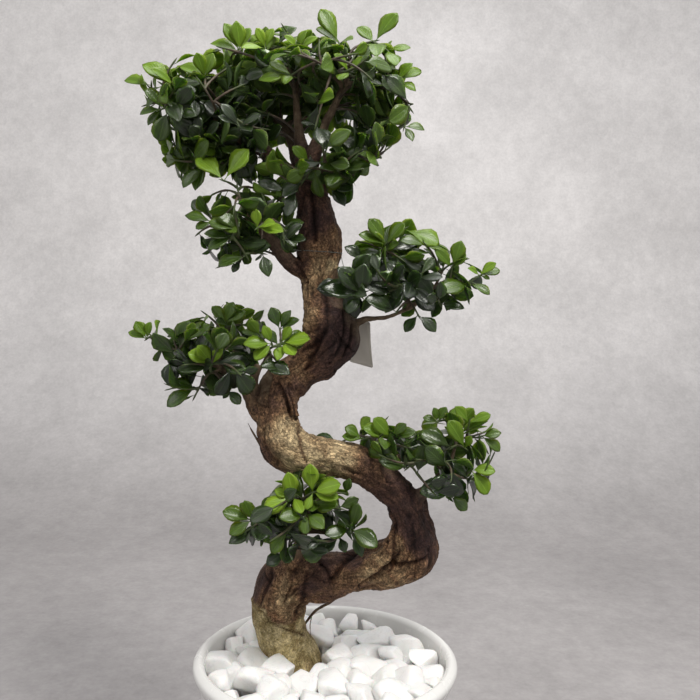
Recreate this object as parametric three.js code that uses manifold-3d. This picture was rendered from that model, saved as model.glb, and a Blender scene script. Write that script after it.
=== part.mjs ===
// A ginseng ficus grown in an S, standing in a round white pot that is dressed with white pebbles.
// Sizes are millimetres. +Z is up, +X is right and the front of the tree faces -Y.
// The origin is the middle of the pot's flat underside.
import * as THREE from 'three';
import { mergeVertices } from 'three/addons/utils/BufferGeometryUtils.js';
import Module from 'manifold-3d';

const wasm = await Module();
wasm.setup();

// Driving dimensions
const GAP = 0.3; // between pieces that touch
const SLIVER = 0.15; // finer detail than this isn't kept where pieces join
const RIM_RADIUS = 150;
const POT_HEIGHT = 265;
const POT_SIDES = 36;
const SOIL_TOP = 212;
const BED_TOP = 228; // the lower stones, which the upper ones lie on
const STONE_COUNT = 52;
const STONE_LEVEL = 235;
const STONE_SIZE = [26, 37];
const FOOT_ROOM = GAP + 0.1; // round the buried foot

// The trunk's line from its buried root to the crown's fork: x, y, z and radius
const TRUNK = [
  [-22, 34, 150, 7], [-26, 35, 176, 17], [-31, 36, 202, 25], [-39, 36, 236, 29.5], [-50, 36, 257, 31],
  [-57, 36, 280, 31], [-59, 36, 302, 31.5], [-56, 35, 324, 33], [-35, 33, 339, 32], [4, 30, 343, 28],
  [32, 26, 351, 24.5], [75, 16, 364, 28], [97, 8, 381, 31.5], [97, 2, 406, 26.5], [90, -3, 432, 20],
  [78, -6, 451, 18.7], [61, -8, 466, 18.7], [37, -10, 481, 20], [12, -12, 489, 20.9], [-11, -14, 491, 21.4],
  [-35, -16, 497, 23.6], [-52, -16, 511, 24.7], [-59, -14, 532, 23.5], [-60, -10, 554, 24],
  [-54, -5, 572, 23.5], [-34, 2, 588, 22], [-9, 8, 608, 28], [0, 12, 627, 33], [-7, 13, 656, 27],
  [-16, 12, 681, 20.5], [-17, 10, 704, 22.5], [-15, 8, 727, 24.5], [-17, 6, 752, 23], [-22, 5, 778, 19.6],
  [-29, 4, 798, 16.5], [-35, 3, 816, 12],
];

// The limbs that carry each pad of leaves, with the same four numbers
const LIMBS = {
  crown: [
    [[-33, 3, 806, 12], [-40, 2, 863, 7], [-44, 0, 906, 4.6], [-46, -2, 925, 3.6]],
    [[-28, 4, 795, 13], [-60, 0, 820, 9.2], [-82, -4, 838, 8], [-106, -8, 850, 6.2], [-134, -10, 862, 4.5]],
    [[-31, 4, 806, 11], [-11, -10, 864, 6.2], [1, -14, 888, 5.6], [15, -18, 915, 4.5]],
    [[-33, 5, 800, 11], [-48, 34, 846, 7], [-58, 62, 878, 5.5], [-72, 84, 894, 4]],
    [[-25, 4, 786, 11], [-2, 4, 806, 7], [26, 6, 824, 5.2], [44, 12, 838, 4]],
  ],
  upper_left: [
    [
      [-17, 10, 702, 15], [-44, 0, 707, 9.6], [-64, -12, 729, 7.9], [-83, -22, 752, 6.2],
      [-92, -26, 764, 4.6],
    ],
  ],
  upper_right: [
    [[4, 11, 632, 13], [27, 8, 642, 7], [42, 4, 648, 5.4], [62, 0, 650, 4.4], [90, -4, 662, 3.6]],
    [[-14, 11, 676, 12], [8, 2, 680, 7], [30, -6, 692, 5], [48, -8, 703, 3.8]],
  ],
  middle_left: [
    [
      [-56, -14, 520, 16], [-82, -17, 545, 9.4], [-90, -18, 560, 7], [-100, -20, 575, 5.6],
      [-122, -22, 590, 4.4],
    ],
    [[-56, -8, 560, 13], [-70, -16, 580, 6.5], [-76, -24, 594, 4.6]],
  ],
  middle_right: [
    [[86, -4, 436, 15], [108, -9, 452, 7], [124, -11, 466, 5.6], [136, -12, 482, 4.4]],
    [[64, -8, 464, 13], [72, -14, 484, 6], [80, -18, 494, 4.4]],
  ],
  lower_left: [
    [[-47, 30, 342, 20], [-37, 8, 376, 8.5], [-30, -12, 394, 6], [-26, -26, 410, 4.6]],
  ],
};

// A fine dry aerial root that hangs from under the arch to the back of the foot
const AERIAL_ROOT = [
  [12, 30, 320, 1.6], [4, 36, 309, 1.2], [-14, 48, 294, 1.2], [-30, 52, 272, 1.2], [-38, 50, 258, 1.6],
];

// Where the leafy shoots of each pad end. The shoots in one row branch from one stem.
const SHOOTS = {
  crown: [
    [[-205, -20, 900], [-190, -10, 868]],
    [[-150, -60, 905], [-105, -62, 858]],
    [[-125, -30, 942], [-85, -78, 926]],
    [[-45, -88, 915], [20, -78, 918]],
    [[-10, -20, 952], [55, 0, 966]],
    [[77, -34, 920], [86, -8, 885]],
    [[70, 10, 852], [42, -28, 820], [15, -48, 795]],
    [[-175, 8, 830]],
    [[-105, 60, 945], [-148, 88, 895]],
    [[-12, 82, 948], [34, 84, 905]],
    [[-75, 112, 912]],
    [[-44, 14, 958]],
  ],
  upper_left: [
    [[-105, -35, 800], [-102, -68, 757]],
    [[-142, -25, 762], [-130, -8, 730]],
    [[-75, -52, 778], [-52, -50, 742]],
    [[-82, 10, 726]],
  ],
  upper_right: [
    [[20, -42, 684]],
    [[58, -15, 726], [86, 16, 738]],
    [[120, -10, 714], [158, -14, 690]],
    [[74, -46, 684], [106, 16, 674]],
    [[70, 46, 706]],
  ],
  middle_left: [
    [[-200, -20, 625], [-168, -44, 602]],
    [[-112, 14, 644], [-145, -8, 618]],
    [[-118, -68, 610], [-148, -34, 558]],
    [[-76, -46, 628], [-44, -62, 614]],
    [[-115, 42, 618]],
  ],
  middle_right: [
    [[60, -40, 522], [30, 14, 512]],
    [[130, -10, 536], [170, -8, 515]],
    [[92, -52, 497], [135, -40, 494]],
    [[165, -15, 468]],
    [[120, 42, 505]],
  ],
  lower_left: [
    [[-32, -62, 458], [2, -40, 455]],
    [[-90, -38, 426], [-62, -62, 436]],
    [[28, -42, 415]],
    [[-52, -16, 410]],
  ],
};

const TRUNK_SIDES = 11;
const TRUNK_RINGS = 36;
const STEM_SHARE = 0.5; // how far the bare stem runs from the limb to its shoots
const STEM_RADIUS = [3.8, 2.5]; // at the limb and where the shoots begin
const TWIG_RADIUS = [2.2, 1.5]; // at its start and at its tip
const TWIG_SIDES = 3;
const BARE_RINGS = 2; // the rings of a twig below its first leaf
const FORK_SETBACK = 1.3;
const LEAVES_PER_SHOOT = 6;
const LEAF_SPACING = 5.4;
const LEAF_LENGTH = 37;
const LEAF_WIDTH_SHARE = 0.56;
const LEAF_THICKNESS = 0.7;
const LEAF_DROOP = 0.16;
const LEAF_SECTIONS = [[0.44, 0.47], [0.75, 0.44]]; // shares of the length and of the width, to one side
const LEAF_CLEARANCE = 0.5;
// A leaf's degrees from the twig and its share of the full length, both by its order from the twig's tip
const LEAF_TILT = { atTip: 28, more: 13, most: 82, spread: 14 };
const LEAF_GROWTH = { atTip: 0.66, more: 0.13, spread: 0.16 };
const GOLDEN_ANGLE = THREE.MathUtils.degToRad(137.5);

// A leaf is tried first as it grows, and else tilted and shortened until it stands clear
const LEAF_SETTINGS = [
  { tilt: 0, size: 1 }, { tilt: -12, size: 1 }, { tilt: 12, size: 1 }, { tilt: -24, size: 0.92 },
  { tilt: 22, size: 0.9 }, { tilt: -8, size: 0.8 }, { tilt: -34, size: 0.85 }, { tilt: 10, size: 0.72 },
  { tilt: 34, size: 0.75 },
];

// The label's card hangs behind the knee: its upper right corner, and the ways its right and top edges run
const CARD = {
  corner: [45, 31, 645], down: [5, 18, -55], left: [-31, 12, 9],
  width: 40, height: 58, thickness: 0.8, bevel: 2,
};
// Its thread is looped round the trunk at a share of the trunk's length, leaves the loop at an angle and
// meets the card this far along the top edge
const THREAD = { radius: 0.5, trunkShare: 0.897, angle: 2.7, meetsCard: 20 };

const COLOURS = {
  pot: 0xf2f1ee, soil: 0x2b211a, stone: 0xf1efe9, bark: 0x7d6648, leaf: 0x3f7325, card: 0xb9b4aa,
};

const vector = ([x, y, z]) => new THREE.Vector3(x, y, z);

// A repeatable draw between 0 and 1 for three whole numbers
function draw(a, b = 0, c = 0) {
  const s = Math.sin(a * 12.9898 + b * 78.233 + c * 37.719) * 43758.5453;
  return s - Math.floor(s);
}

function solidOf(geometry) {
  const bare = new THREE.BufferGeometry().setAttribute('position', geometry.getAttribute('position'));
  bare.setIndex(geometry.index);
  const merged = mergeVertices(bare, 1e-4);
  return new wasm.Manifold(new wasm.Mesh({
    numProp: 3,
    vertProperties: merged.attributes.position.array,
    triVerts: new Uint32Array(merged.index.array),
  }));
}

// The largest body of a join, with any hollow that the join closed filled in and its slivers taken out
function wholeOf(solids) {
  const bodies = wasm.Manifold.union(solids).decompose();
  bodies.sort((a, b) => b.volume() - a.volume());
  return bodies[0].simplify(SLIVER);
}

function piece(name, solid, colour, roughness) {
  const mesh = solid.getMesh();
  const geometry = new THREE.BufferGeometry();
  geometry.setAttribute('position', new THREE.BufferAttribute(mesh.vertProperties, mesh.numProp));
  geometry.setIndex(new THREE.BufferAttribute(mesh.triVerts, 1));
  geometry.computeVertexNormals();
  const material = new THREE.MeshStandardMaterial({ color: colour, roughness, metalness: 0 });
  const made = new THREE.Mesh(geometry, material);
  made.name = name;
  return made;
}

// A body turned about the upright axis, from its profile of radius and height
function turned(profile, sides) {
  const points = profile.map(([r, z]) => new THREE.Vector2(r, z));
  return solidOf(new THREE.LatheGeometry(points, sides).rotateX(Math.PI / 2));
}

// The old wood isn't round: slow swellings and flutes run along it
function gnarl(angle, along) {
  return 1 + 0.05 * Math.sin(2 * angle + along / 41) + 0.04 * Math.sin(3 * angle - along / 57 + 1.3)
    + 0.025 * Math.sin(5 * angle + along / 33);
}

// A tapering body along a curve, round unless a shape is given for its section
function tube({ path, radiusAt, sides, rings, shape = () => 1 }) {
  const length = path.getLength();
  const frames = path.computeFrenetFrames(rings);
  const geometry = new THREE.CylinderGeometry(1, 1, 1, sides, rings);
  const position = geometry.getAttribute('position');
  for (let i = 0; i < position.count; i++) {
    const ring = Math.round((0.5 - position.getY(i)) * rings);
    const share = ring / rings;
    const across = position.getX(i);
    const beside = position.getZ(i);
    const radius = radiusAt(share) * shape(Math.atan2(beside, across), share * length);
    const point = path.getPointAt(share)
      .addScaledVector(frames.normals[ring], radius * across)
      .addScaledVector(frames.binormals[ring], radius * beside);
    position.setXYZ(i, point.x, point.y, point.z);
  }
  return solidOf(geometry);
}

// A limb through its stations, whose radii are followed too
function limb(stations, sides, rings, { shape, extra = 0 } = {}) {
  const path = new THREE.CatmullRomCurve3(stations.map(vector), false, 'centripetal');
  const radiusAt = (share) => {
    const place = path.getUtoTmapping(share) * (stations.length - 1);
    const before = Math.min(Math.floor(place), stations.length - 2);
    return THREE.MathUtils.lerp(stations[before][3], stations[before + 1][3], place - before) + extra;
  };
  return { path, radiusAt, solid: tube({ path, radiusAt, sides, rings, shape }) };
}

// Pot, soil and pebbles

const POT_PROFILE = [
  [0, 0], [113, 0], [118, 4], [RIM_RADIUS - 7, POT_HEIGHT - 21], [RIM_RADIUS - 2, POT_HEIGHT - 18],
  [RIM_RADIUS, POT_HEIGHT - 12], [RIM_RADIUS - 1, POT_HEIGHT - 4], [RIM_RADIUS - 6, POT_HEIGHT],
  [RIM_RADIUS - 10.5, POT_HEIGHT - 2.5], [RIM_RADIUS - 12, POT_HEIGHT - 8], [113, 7], [0, 7],
];
const POT_FLOOR = POT_PROFILE.at(-1)[1];

// The radius of the pot's inner wall at a height
function cavityRadius(z) {
  const [top, bottom] = [POT_PROFILE.at(-3), POT_PROFILE.at(-2)];
  return THREE.MathUtils.mapLinear(z, bottom[1], top[1], bottom[0], top[0]);
}

// A body that fills the pot between two heights, its corners clear of the wall's flats
function filling(low, high) {
  const [atLow, atHigh] = [low, high].map((z) => cavityRadius(z) * Math.cos(Math.PI / POT_SIDES) - GAP);
  return turned([[0, low], [atLow, low], [atHigh, high], [0, high]], POT_SIDES / 2);
}

// One broken, half rounded stone
function stone(index, centre, size) {
  const geometry = new THREE.IcosahedronGeometry(1, 0);
  const position = geometry.getAttribute('position');
  const corner = new THREE.Vector3();
  const stretch = new THREE.Vector3(0.85, 0.75, 0.55);
  stretch.add(new THREE.Vector3(0.35 * draw(index, 1), 0.25 * draw(index, 2), 0.2 * draw(index, 3)));
  for (let i = 0; i < position.count; i++) {
    corner.fromBufferAttribute(position, i);
    // Copies of one corner in several faces make the same draw
    const seed = [Math.round(7 * corner.x + 90), Math.round(7 * corner.y + 13 * corner.z)];
    const dent = 0.86 + 0.28 * draw(index, ...seed);
    corner.multiplyScalar(dent * size / 2).multiply(stretch);
    position.setXYZ(i, corner.x, corner.y, corner.z);
  }
  geometry.rotateZ(2 * Math.PI * draw(index, 4));
  geometry.rotateX(0.9 * (draw(index, 5) - 0.5));
  geometry.rotateY(0.9 * (draw(index, 6) - 0.5));
  geometry.translate(centre.x, centre.y, centre.z);
  return solidOf(geometry);
}

// Stones lie on the bed in sunflower order, jittered, all over the pot but where the foot stands
function makePebbles(hole, foot) {
  const stones = [];
  for (let i = 0; i < STONE_COUNT; i++) {
    const size = THREE.MathUtils.lerp(STONE_SIZE[0], STONE_SIZE[1], draw(i, 7));
    const reach = (cavityRadius(STONE_LEVEL) - 0.52 * size) * Math.sqrt((i + 0.5) / STONE_COUNT);
    const angle = i * GOLDEN_ANGLE + 0.3 * (draw(i, 8) - 0.5);
    const level = STONE_LEVEL + 8 * (draw(i, 9) - 0.4);
    const centre = new THREE.Vector3(reach * Math.cos(angle), reach * Math.sin(angle), level);
    const toFoot = Math.hypot(centre.x - foot[0], centre.y - foot[1]);
    if (toFoot > foot[3] + 0.3 * size) stones.push(stone(i, centre, size));
  }
  const pile = wholeOf([filling(SOIL_TOP + GAP, BED_TOP), ...stones]);
  return wholeOf([pile.intersect(filling(SOIL_TOP + GAP, POT_HEIGHT)).subtract(hole)]);
}

// Trunk with its limbs and bare stems

const trunkLine = limb(TRUNK, TRUNK_SIDES, TRUNK_RINGS, { shape: gnarl });
// The hole that the foot stands in, a little wider and deeper than the foot
const footRoom = limb(TRUNK, TRUNK_SIDES, TRUNK_RINGS, { shape: gnarl, extra: FOOT_ROOM }).solid;
const footHole = wholeOf([footRoom, footRoom.translate([0, 0, -FOOT_ROOM])]);
const limbs = {};
for (const [pad, lines] of Object.entries(LIMBS)) {
  limbs[pad] = lines.map((stations) => limb(stations, 5, stations.length - 1));
}

const LEAVING_SHARES = [0.45, 0.6, 0.75, 0.9, 0.98];
const LEAVING_STAGGER = 0.014; // so that no two stems of a pad leave from quite the same point

// The point of a pad's limbs that a stem leaves from: the nearest, with low ones preferred
function leavingPoint(pad, row, target) {
  let best = null;
  for (const { path } of limbs[pad]) {
    for (const share of LEAVING_SHARES) {
      const point = path.getPointAt(share - LEAVING_STAGGER * row);
      const cost = point.distanceTo(target) + 0.5 * Math.max(0, point.z - target.z + 20);
      if (!best || cost < best.cost) best = { cost, point, heading: path.getTangentAt(share) };
    }
  }
  return best;
}

function meanOf(points) {
  return points.reduce((sum, point) => sum.add(point), new THREE.Vector3()).divideScalar(points.length);
}

// The bare stem from a limb to where its shoots begin: it leaves along the limb and ends facing their tips
function stemOf(pad, row, tips) {
  const middle = meanOf(tips.map(vector));
  const { point, heading } = leavingPoint(pad, row, middle);
  const end = point.clone().lerp(middle, STEM_SHARE);
  const aim = middle.clone().sub(point).normalize();
  const bend = 0.3 * point.distanceTo(end);
  const leaving = point.clone().addScaledVector(heading, bend);
  const arriving = end.clone().addScaledVector(aim, -bend);
  const path = new THREE.CubicBezierCurve3(point, leaving, arriving, end);
  const radiusAt = (share) => THREE.MathUtils.lerp(STEM_RADIUS[0], STEM_RADIUS[1], share);
  return { end, heading: aim, solid: tube({ path, radiusAt, sides: 3, rings: 2 }) };
}

// Leaves

// The four corners of a leaf at each cross-section, right and left of the upper face, then left and right of
// the lower face. In the leaf's own frame it grows along +Y with its upper face up.
function leafSections({ matrix, length }, thickness, width) {
  const corner = (x, y, side) => {
    const z = side * thickness / 2 - LEAF_DROOP * y * y / length;
    return new THREE.Vector3(x, y, z).applyMatrix4(matrix);
  };
  const sections = LEAF_SECTIONS.map(([along, across]) => [
    corner(across * width, along * length, 1), corner(-across * width, along * length, 1),
    corner(-across * width, along * length, -1), corner(across * width, along * length, -1),
  ]);
  return { sections, tip: [corner(0, length, 1), corner(0, length, -1)] };
}

// Adds a leaf's surface to a list of triangles, drawn out of the four corners of its root
function drawOut(triangles, root, { sections, tip }) {
  let near = root;
  for (const far of sections) {
    for (let i = 0; i < 4; i++) {
      const next = (i + 1) % 4;
      // The upper and the lower face are split along the same diagonal
      if (i < 2) triangles.push([near[i], far[i], far[next]], [near[i], far[next], near[next]]);
      else triangles.push([near[next], near[i], far[i]], [near[next], far[i], far[next]]);
    }
    near = far;
  }
  const [rightUpper, leftUpper, leftLower, rightLower] = near;
  const [tipUpper, tipLower] = tip;
  triangles.push([rightUpper, tipUpper, leftUpper], [rightLower, leftLower, tipLower]);
  triangles.push([rightLower, tipLower, tipUpper], [rightLower, tipUpper, rightUpper]);
  triangles.push([leftLower, tipUpper, tipLower], [leftLower, leftUpper, tipUpper]);
}

function solidOfTriangles(triangles) {
  return solidOf(new THREE.BufferGeometry().setFromPoints(triangles.flat()));
}

// The twig of a shoot is twisted, so that from ring to ring its faces turn by a golden angle as its leaves do
function shootRings(path, seed) {
  const length = path.getLength();
  const leafy = Math.min(LEAF_SPACING * LEAVES_PER_SHOOT, 0.75 * length) / length;
  const ringCount = BARE_RINGS + LEAVES_PER_SHOOT;
  const rings = [];
  for (let i = 0; i <= ringCount; i++) {
    const bare = (1 - leafy) * i / BARE_RINGS;
    const share = i < BARE_RINGS ? bare : 1 - leafy * (ringCount - i) / LEAVES_PER_SHOOT;
    const axis = path.getTangentAt(share);
    const level = new THREE.Vector3(0, 0, 1).cross(axis).normalize();
    const centre = path.getPointAt(share);
    const turn = 2 * Math.PI * draw(seed, 11) + i * (GOLDEN_ANGLE - 2 * Math.PI / TWIG_SIDES);
    const radius = THREE.MathUtils.lerp(TWIG_RADIUS[0], TWIG_RADIUS[1], share);
    const corners = [];
    for (let side = 0; side < TWIG_SIDES; side++) {
      const outward = level.clone().applyAxisAngle(axis, turn + side * 2 * Math.PI / TWIG_SIDES);
      corners.push(centre.clone().addScaledVector(outward, radius));
    }
    rings.push({ centre, axis, corners });
  }
  return rings;
}

// The way a leaf grows out of the twig's face between two rings, at one of the settings
function leafPlace(below, above, side, seed, order, setting) {
  const next = (side + 1) % TWIG_SIDES;
  const root = [above.corners[side], above.corners[next], below.corners[next], below.corners[side]];
  const centre = meanOf(root);
  const axis = below.axis.clone().add(above.axis).normalize();
  const across = below.corners[side].clone().sub(below.corners[next]).normalize();
  const outward = axis.clone().cross(across).normalize();
  const grown = LEAF_TILT.atTip + LEAF_TILT.more * order + LEAF_TILT.spread * (draw(seed, order, 12) - 0.5);
  const tilt = THREE.MathUtils.degToRad(Math.min(LEAF_TILT.most, grown) + setting.tilt);
  const along = axis.clone().multiplyScalar(Math.cos(tilt)).addScaledVector(outward, Math.sin(tilt));
  const sideways = across.clone().addScaledVector(along, -across.dot(along)).normalize();
  const matrix = new THREE.Matrix4().makeBasis(sideways, along, sideways.clone().cross(along));
  matrix.setPosition(centre);
  const growth = Math.min(1, LEAF_GROWTH.atTip + LEAF_GROWTH.more * order)
    + LEAF_GROWTH.spread * (draw(seed, order, 13) - 0.5);
  return { root, along, matrix, length: setting.size * LEAF_LENGTH * growth };
}

// The curved line of one shoot, from the stem's end to its tip
function shootPath(start, heading, tip) {
  const reach = start.distanceTo(tip);
  return new THREE.QuadraticBezierCurve3(start, start.clone().addScaledVector(heading, 0.4 * reach), tip);
}

const boxed = (solid) => ({ solid, box: solid.boundingBox() });

function boxesMeet(a, b) {
  return [0, 1, 2].every((i) => a.min[i] < b.max[i] && b.min[i] < a.max[i]);
}

function touchesAny(solid, others) {
  const box = solid.boundingBox();
  return others.some((other) => boxesMeet(box, other.box) && !solid.intersect(other.solid).isEmpty());
}

// The bare twig of a shoot, to keep leaves clear of it
function twigSolid(rings) {
  const triangles = [];
  for (let i = 1; i < rings.length; i++) {
    for (let side = 0; side < TWIG_SIDES; side++) {
      addFace(triangles, rings[i - 1], rings[i], side);
    }
  }
  addEnds(triangles, rings);
  return solidOfTriangles(triangles);
}

function addFace(triangles, below, above, side) {
  const next = (side + 1) % TWIG_SIDES;
  triangles.push([below.corners[side], below.corners[next], above.corners[next]]);
  triangles.push([below.corners[side], above.corners[next], above.corners[side]]);
}

function addEnds(triangles, rings) {
  const [a, b, c] = rings[0].corners;
  triangles.push([a, c, b], rings.at(-1).corners);
}

// One shoot as one closed surface: each face of the twig that bears a leaf is drawn out into it
function makeShoot(rings, seed, obstacles) {
  const triangles = [];
  const guards = [];
  for (let i = 1; i < rings.length; i++) {
    const order = rings.length - 1 - i;
    for (let side = 0; side < TWIG_SIDES; side++) {
      const bearsLeaf = i > BARE_RINGS && side === i % TWIG_SIDES;
      const near = [...obstacles, ...guards];
      const place = bearsLeaf && clearPlace(rings[i - 1], rings[i], side, seed, order, near);
      if (place) {
        drawOut(triangles, place.root, leafSections(place, LEAF_THICKNESS, LEAF_WIDTH_SHARE * place.length));
        guards.push(boxed(guardOf(place, 0)));
      } else {
        addFace(triangles, rings[i - 1], rings[i], side);
      }
    }
  }
  addEnds(triangles, rings);
  return { solid: solidOfTriangles(triangles), guards };
}

// A closed body round a leaf, a margin larger all round, that starts just off the twig
function guardOf(place, margin) {
  const triangles = [];
  const root = place.root.map((corner) => corner.clone().addScaledVector(place.along, TWIG_RADIUS[0] + GAP));
  const width = LEAF_WIDTH_SHARE * place.length + 2 * margin;
  drawOut(triangles, root, leafSections(place, LEAF_THICKNESS + 2 * margin, width));
  triangles.push([root[0], root[1], root[2]], [root[0], root[2], root[3]]);
  return solidOfTriangles(triangles);
}

function clearPlace(below, above, side, seed, order, obstacles) {
  for (const setting of LEAF_SETTINGS) {
    const place = leafPlace(below, above, side, seed, order, setting);
    if (!touchesAny(guardOf(place, LEAF_CLEARANCE), obstacles)) return place;
  }
  return null;
}

// A leafy spray: shoots from one stem's end, each with its spiral of leaves, clear of all that stands already
function makeSpray(stem, tips, seed, standing) {
  const start = stem.end.clone().addScaledVector(stem.heading, GAP);
  const mainRings = shootRings(shootPath(start, stem.heading, vector(tips[0])), 10 * seed);
  const ringSets = [mainRings];
  tips.slice(1).forEach((tip, i) => {
    // A side shoot starts inside the main one, its rings clear of the main one's
    const fork = mainRings[i + 1];
    const inside = fork.centre.clone().addScaledVector(fork.axis, -FORK_SETBACK);
    ringSets.push(shootRings(shootPath(inside, fork.axis, vector(tip)), 10 * seed + i + 1));
  });
  const twigs = ringSets.map((rings) => boxed(twigSolid(rings)));
  const solids = [];
  let guards = [];
  ringSets.forEach((rings, shoot) => {
    const otherTwigs = twigs.filter((twig, i) => i !== shoot);
    const made = makeShoot(rings, 10 * seed + shoot, [...standing, ...otherTwigs, ...guards]);
    solids.push(made.solid);
    guards = [...guards, ...made.guards];
  });
  return wholeOf(solids);
}

// The blank plastic label: a card, and the thread that holds it to the trunk
function makeLabel() {
  const { width, height, thickness, bevel } = CARD;
  const down = vector(CARD.down).normalize();
  const left = vector(CARD.left).addScaledVector(down, -vector(CARD.left).dot(down)).normalize();
  const normal = left.clone().cross(down);
  const corner = vector(CARD.corner);
  const outline = new THREE.Shape([
    [bevel, 0], [width - bevel, 0], [width, bevel], [width, height - bevel],
    [width - bevel, height], [bevel, height], [0, height - bevel], [0, bevel],
  ].map(([x, y]) => new THREE.Vector2(x, y)));
  const card = new THREE.ExtrudeGeometry(outline, { depth: thickness, bevelEnabled: false });
  card.applyMatrix4(new THREE.Matrix4().makeBasis(left, down, normal).setPosition(corner));

  const { loop, knot } = threadLoop();
  const onCard = corner.addScaledVector(left, THREAD.meetsCard).addScaledVector(down, bevel);
  onCard.addScaledVector(normal, thickness / 2);
  const path = new THREE.LineCurve3(knot, onCard);
  const thread = tube({ path, radiusAt: () => THREAD.radius, sides: 4, rings: 1 });
  return wholeOf([solidOf(card), loop, thread]);
}

// The loop follows the trunk's fluted section a hair's breadth outside it
function threadLoop() {
  const { path, radiusAt } = trunkLine;
  const steps = 10 * TRUNK_RINGS;
  const { normals, binormals, tangents } = path.computeFrenetFrames(steps);
  const ring = Math.round(THREAD.trunkShare * steps);
  const at = ring / steps;
  const reach = (angle) => radiusAt(at) * gnarl(angle, at * path.getLength()) + 2 * GAP + THREAD.radius;
  const frame = new THREE.Matrix4().makeBasis(normals[ring], binormals[ring], tangents[ring]);
  frame.setPosition(path.getPointAt(at));
  const hoop = reach(0);
  const geometry = new THREE.TorusGeometry(hoop, THREAD.radius, 4, 20);
  const position = geometry.getAttribute('position');
  for (let i = 0; i < position.count; i++) {
    const angle = Math.atan2(position.getY(i), position.getX(i));
    const radius = Math.hypot(position.getX(i), position.getY(i)) - hoop + reach(angle);
    position.setXYZ(i, radius * Math.cos(angle), radius * Math.sin(angle), position.getZ(i));
  }
  const knot = new THREE.Vector3(Math.cos(THREAD.angle), Math.sin(THREAD.angle), 0);
  knot.multiplyScalar(reach(THREAD.angle));
  return { loop: solidOf(geometry.applyMatrix4(frame)), knot: knot.applyMatrix4(frame) };
}

// The whole plant in its pot

const plant = new THREE.Group();
const stems = [];
for (const [pad, rows] of Object.entries(SHOOTS)) {
  rows.forEach((tips, row) => stems.push({ pad, row, tips, stem: stemOf(pad, row, tips) }));
}
const trunk = wholeOf([
  trunkLine.solid,
  limb(AERIAL_ROOT, 4, 6).solid,
  ...Object.values(limbs).flat().map((line) => line.solid),
  ...stems.map(({ stem }) => stem.solid),
]);
const pot = turned(POT_PROFILE, POT_SIDES);
const soil = filling(POT_FLOOR + GAP, SOIL_TOP).subtract(footHole);
const pebbles = makePebbles(footHole, TRUNK[3]);
const label = makeLabel();
plant.add(piece('trunk', trunk, COLOURS.bark, 0.8));
plant.add(piece('pot', pot, COLOURS.pot, 0.35));
plant.add(piece('soil', soil, COLOURS.soil, 0.95));
plant.add(piece('pebbles', pebbles, COLOURS.stone, 0.6));
plant.add(piece('label', label, COLOURS.card, 0.45));

const standing = [trunk, label, pot, pebbles].map(boxed);
stems.forEach(({ pad, row, tips, stem }, index) => {
  const spray = makeSpray(stem, tips, index + 1, standing);
  standing.push(boxed(spray));
  plant.add(piece(`${pad}_spray_${row + 1}`, spray, COLOURS.leaf, 0.4));
});

export default plant;
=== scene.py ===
# A ginseng ficus trained in an S, with pads of glossy leaves, in a white pot dressed with white marble.
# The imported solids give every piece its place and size, and this script its fine form and finish.
import itertools
import math

import bmesh
import bpy
import numpy as np
from mathutils import Matrix, Vector, noise
from mathutils.bvhtree import BVHTree
from mathutils.kdtree import KDTree


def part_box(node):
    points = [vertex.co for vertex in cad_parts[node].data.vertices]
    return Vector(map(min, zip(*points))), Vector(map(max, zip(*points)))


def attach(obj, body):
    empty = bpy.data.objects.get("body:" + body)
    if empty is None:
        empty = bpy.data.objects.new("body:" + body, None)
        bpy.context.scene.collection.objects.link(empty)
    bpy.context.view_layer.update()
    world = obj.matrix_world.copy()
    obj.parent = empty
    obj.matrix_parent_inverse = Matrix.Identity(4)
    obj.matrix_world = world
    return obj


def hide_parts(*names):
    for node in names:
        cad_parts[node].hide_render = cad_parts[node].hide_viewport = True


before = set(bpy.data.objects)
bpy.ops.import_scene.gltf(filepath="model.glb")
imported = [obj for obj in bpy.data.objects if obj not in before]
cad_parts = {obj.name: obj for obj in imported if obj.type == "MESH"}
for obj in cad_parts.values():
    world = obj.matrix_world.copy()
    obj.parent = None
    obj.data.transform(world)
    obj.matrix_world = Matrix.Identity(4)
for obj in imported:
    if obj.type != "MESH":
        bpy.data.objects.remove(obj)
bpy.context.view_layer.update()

MM = 0.001
GOLDEN_ANGLE = math.radians(137.5)
UP = Vector((0, 0, 1))

# The trunk's line from its buried root to the crown's fork, as the solid has it: x, y, z and radius in mm
TRUNK = [
    (-22, 34, 150, 7), (-25, 35, 176, 17), (-28, 36, 202, 25), (-36, 36, 236, 29.5), (-49, 36, 257, 29.5),
    (-57, 36, 280, 29.5), (-59, 36, 302, 31), (-56, 35, 324, 33), (-35, 33, 339, 32), (4, 30, 343, 28),
    (32, 26, 351, 24.5), (75, 16, 364, 28), (97, 8, 381, 31.5), (97, 2, 406, 26.5), (90, -3, 432, 20),
    (78, -6, 451, 18.7), (61, -8, 466, 18.7), (37, -10, 481, 20), (12, -12, 489, 20.9), (-11, -14, 491, 21.4),
    (-35, -16, 497, 23.6), (-52, -16, 511, 24.7), (-59, -14, 532, 23.5), (-60, -10, 554, 24),
    (-54, -5, 572, 23.5), (-34, 2, 588, 22), (-9, 8, 608, 28), (0, 12, 627, 33), (-7, 13, 656, 27),
    (-16, 12, 681, 20.5), (-17, 10, 704, 22.5), (-15, 8, 727, 24.5), (-17, 6, 752, 23), (-22, 5, 778, 19.6),
    (-29, 4, 798, 16.5), (-35, 3, 816, 12),
]

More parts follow.
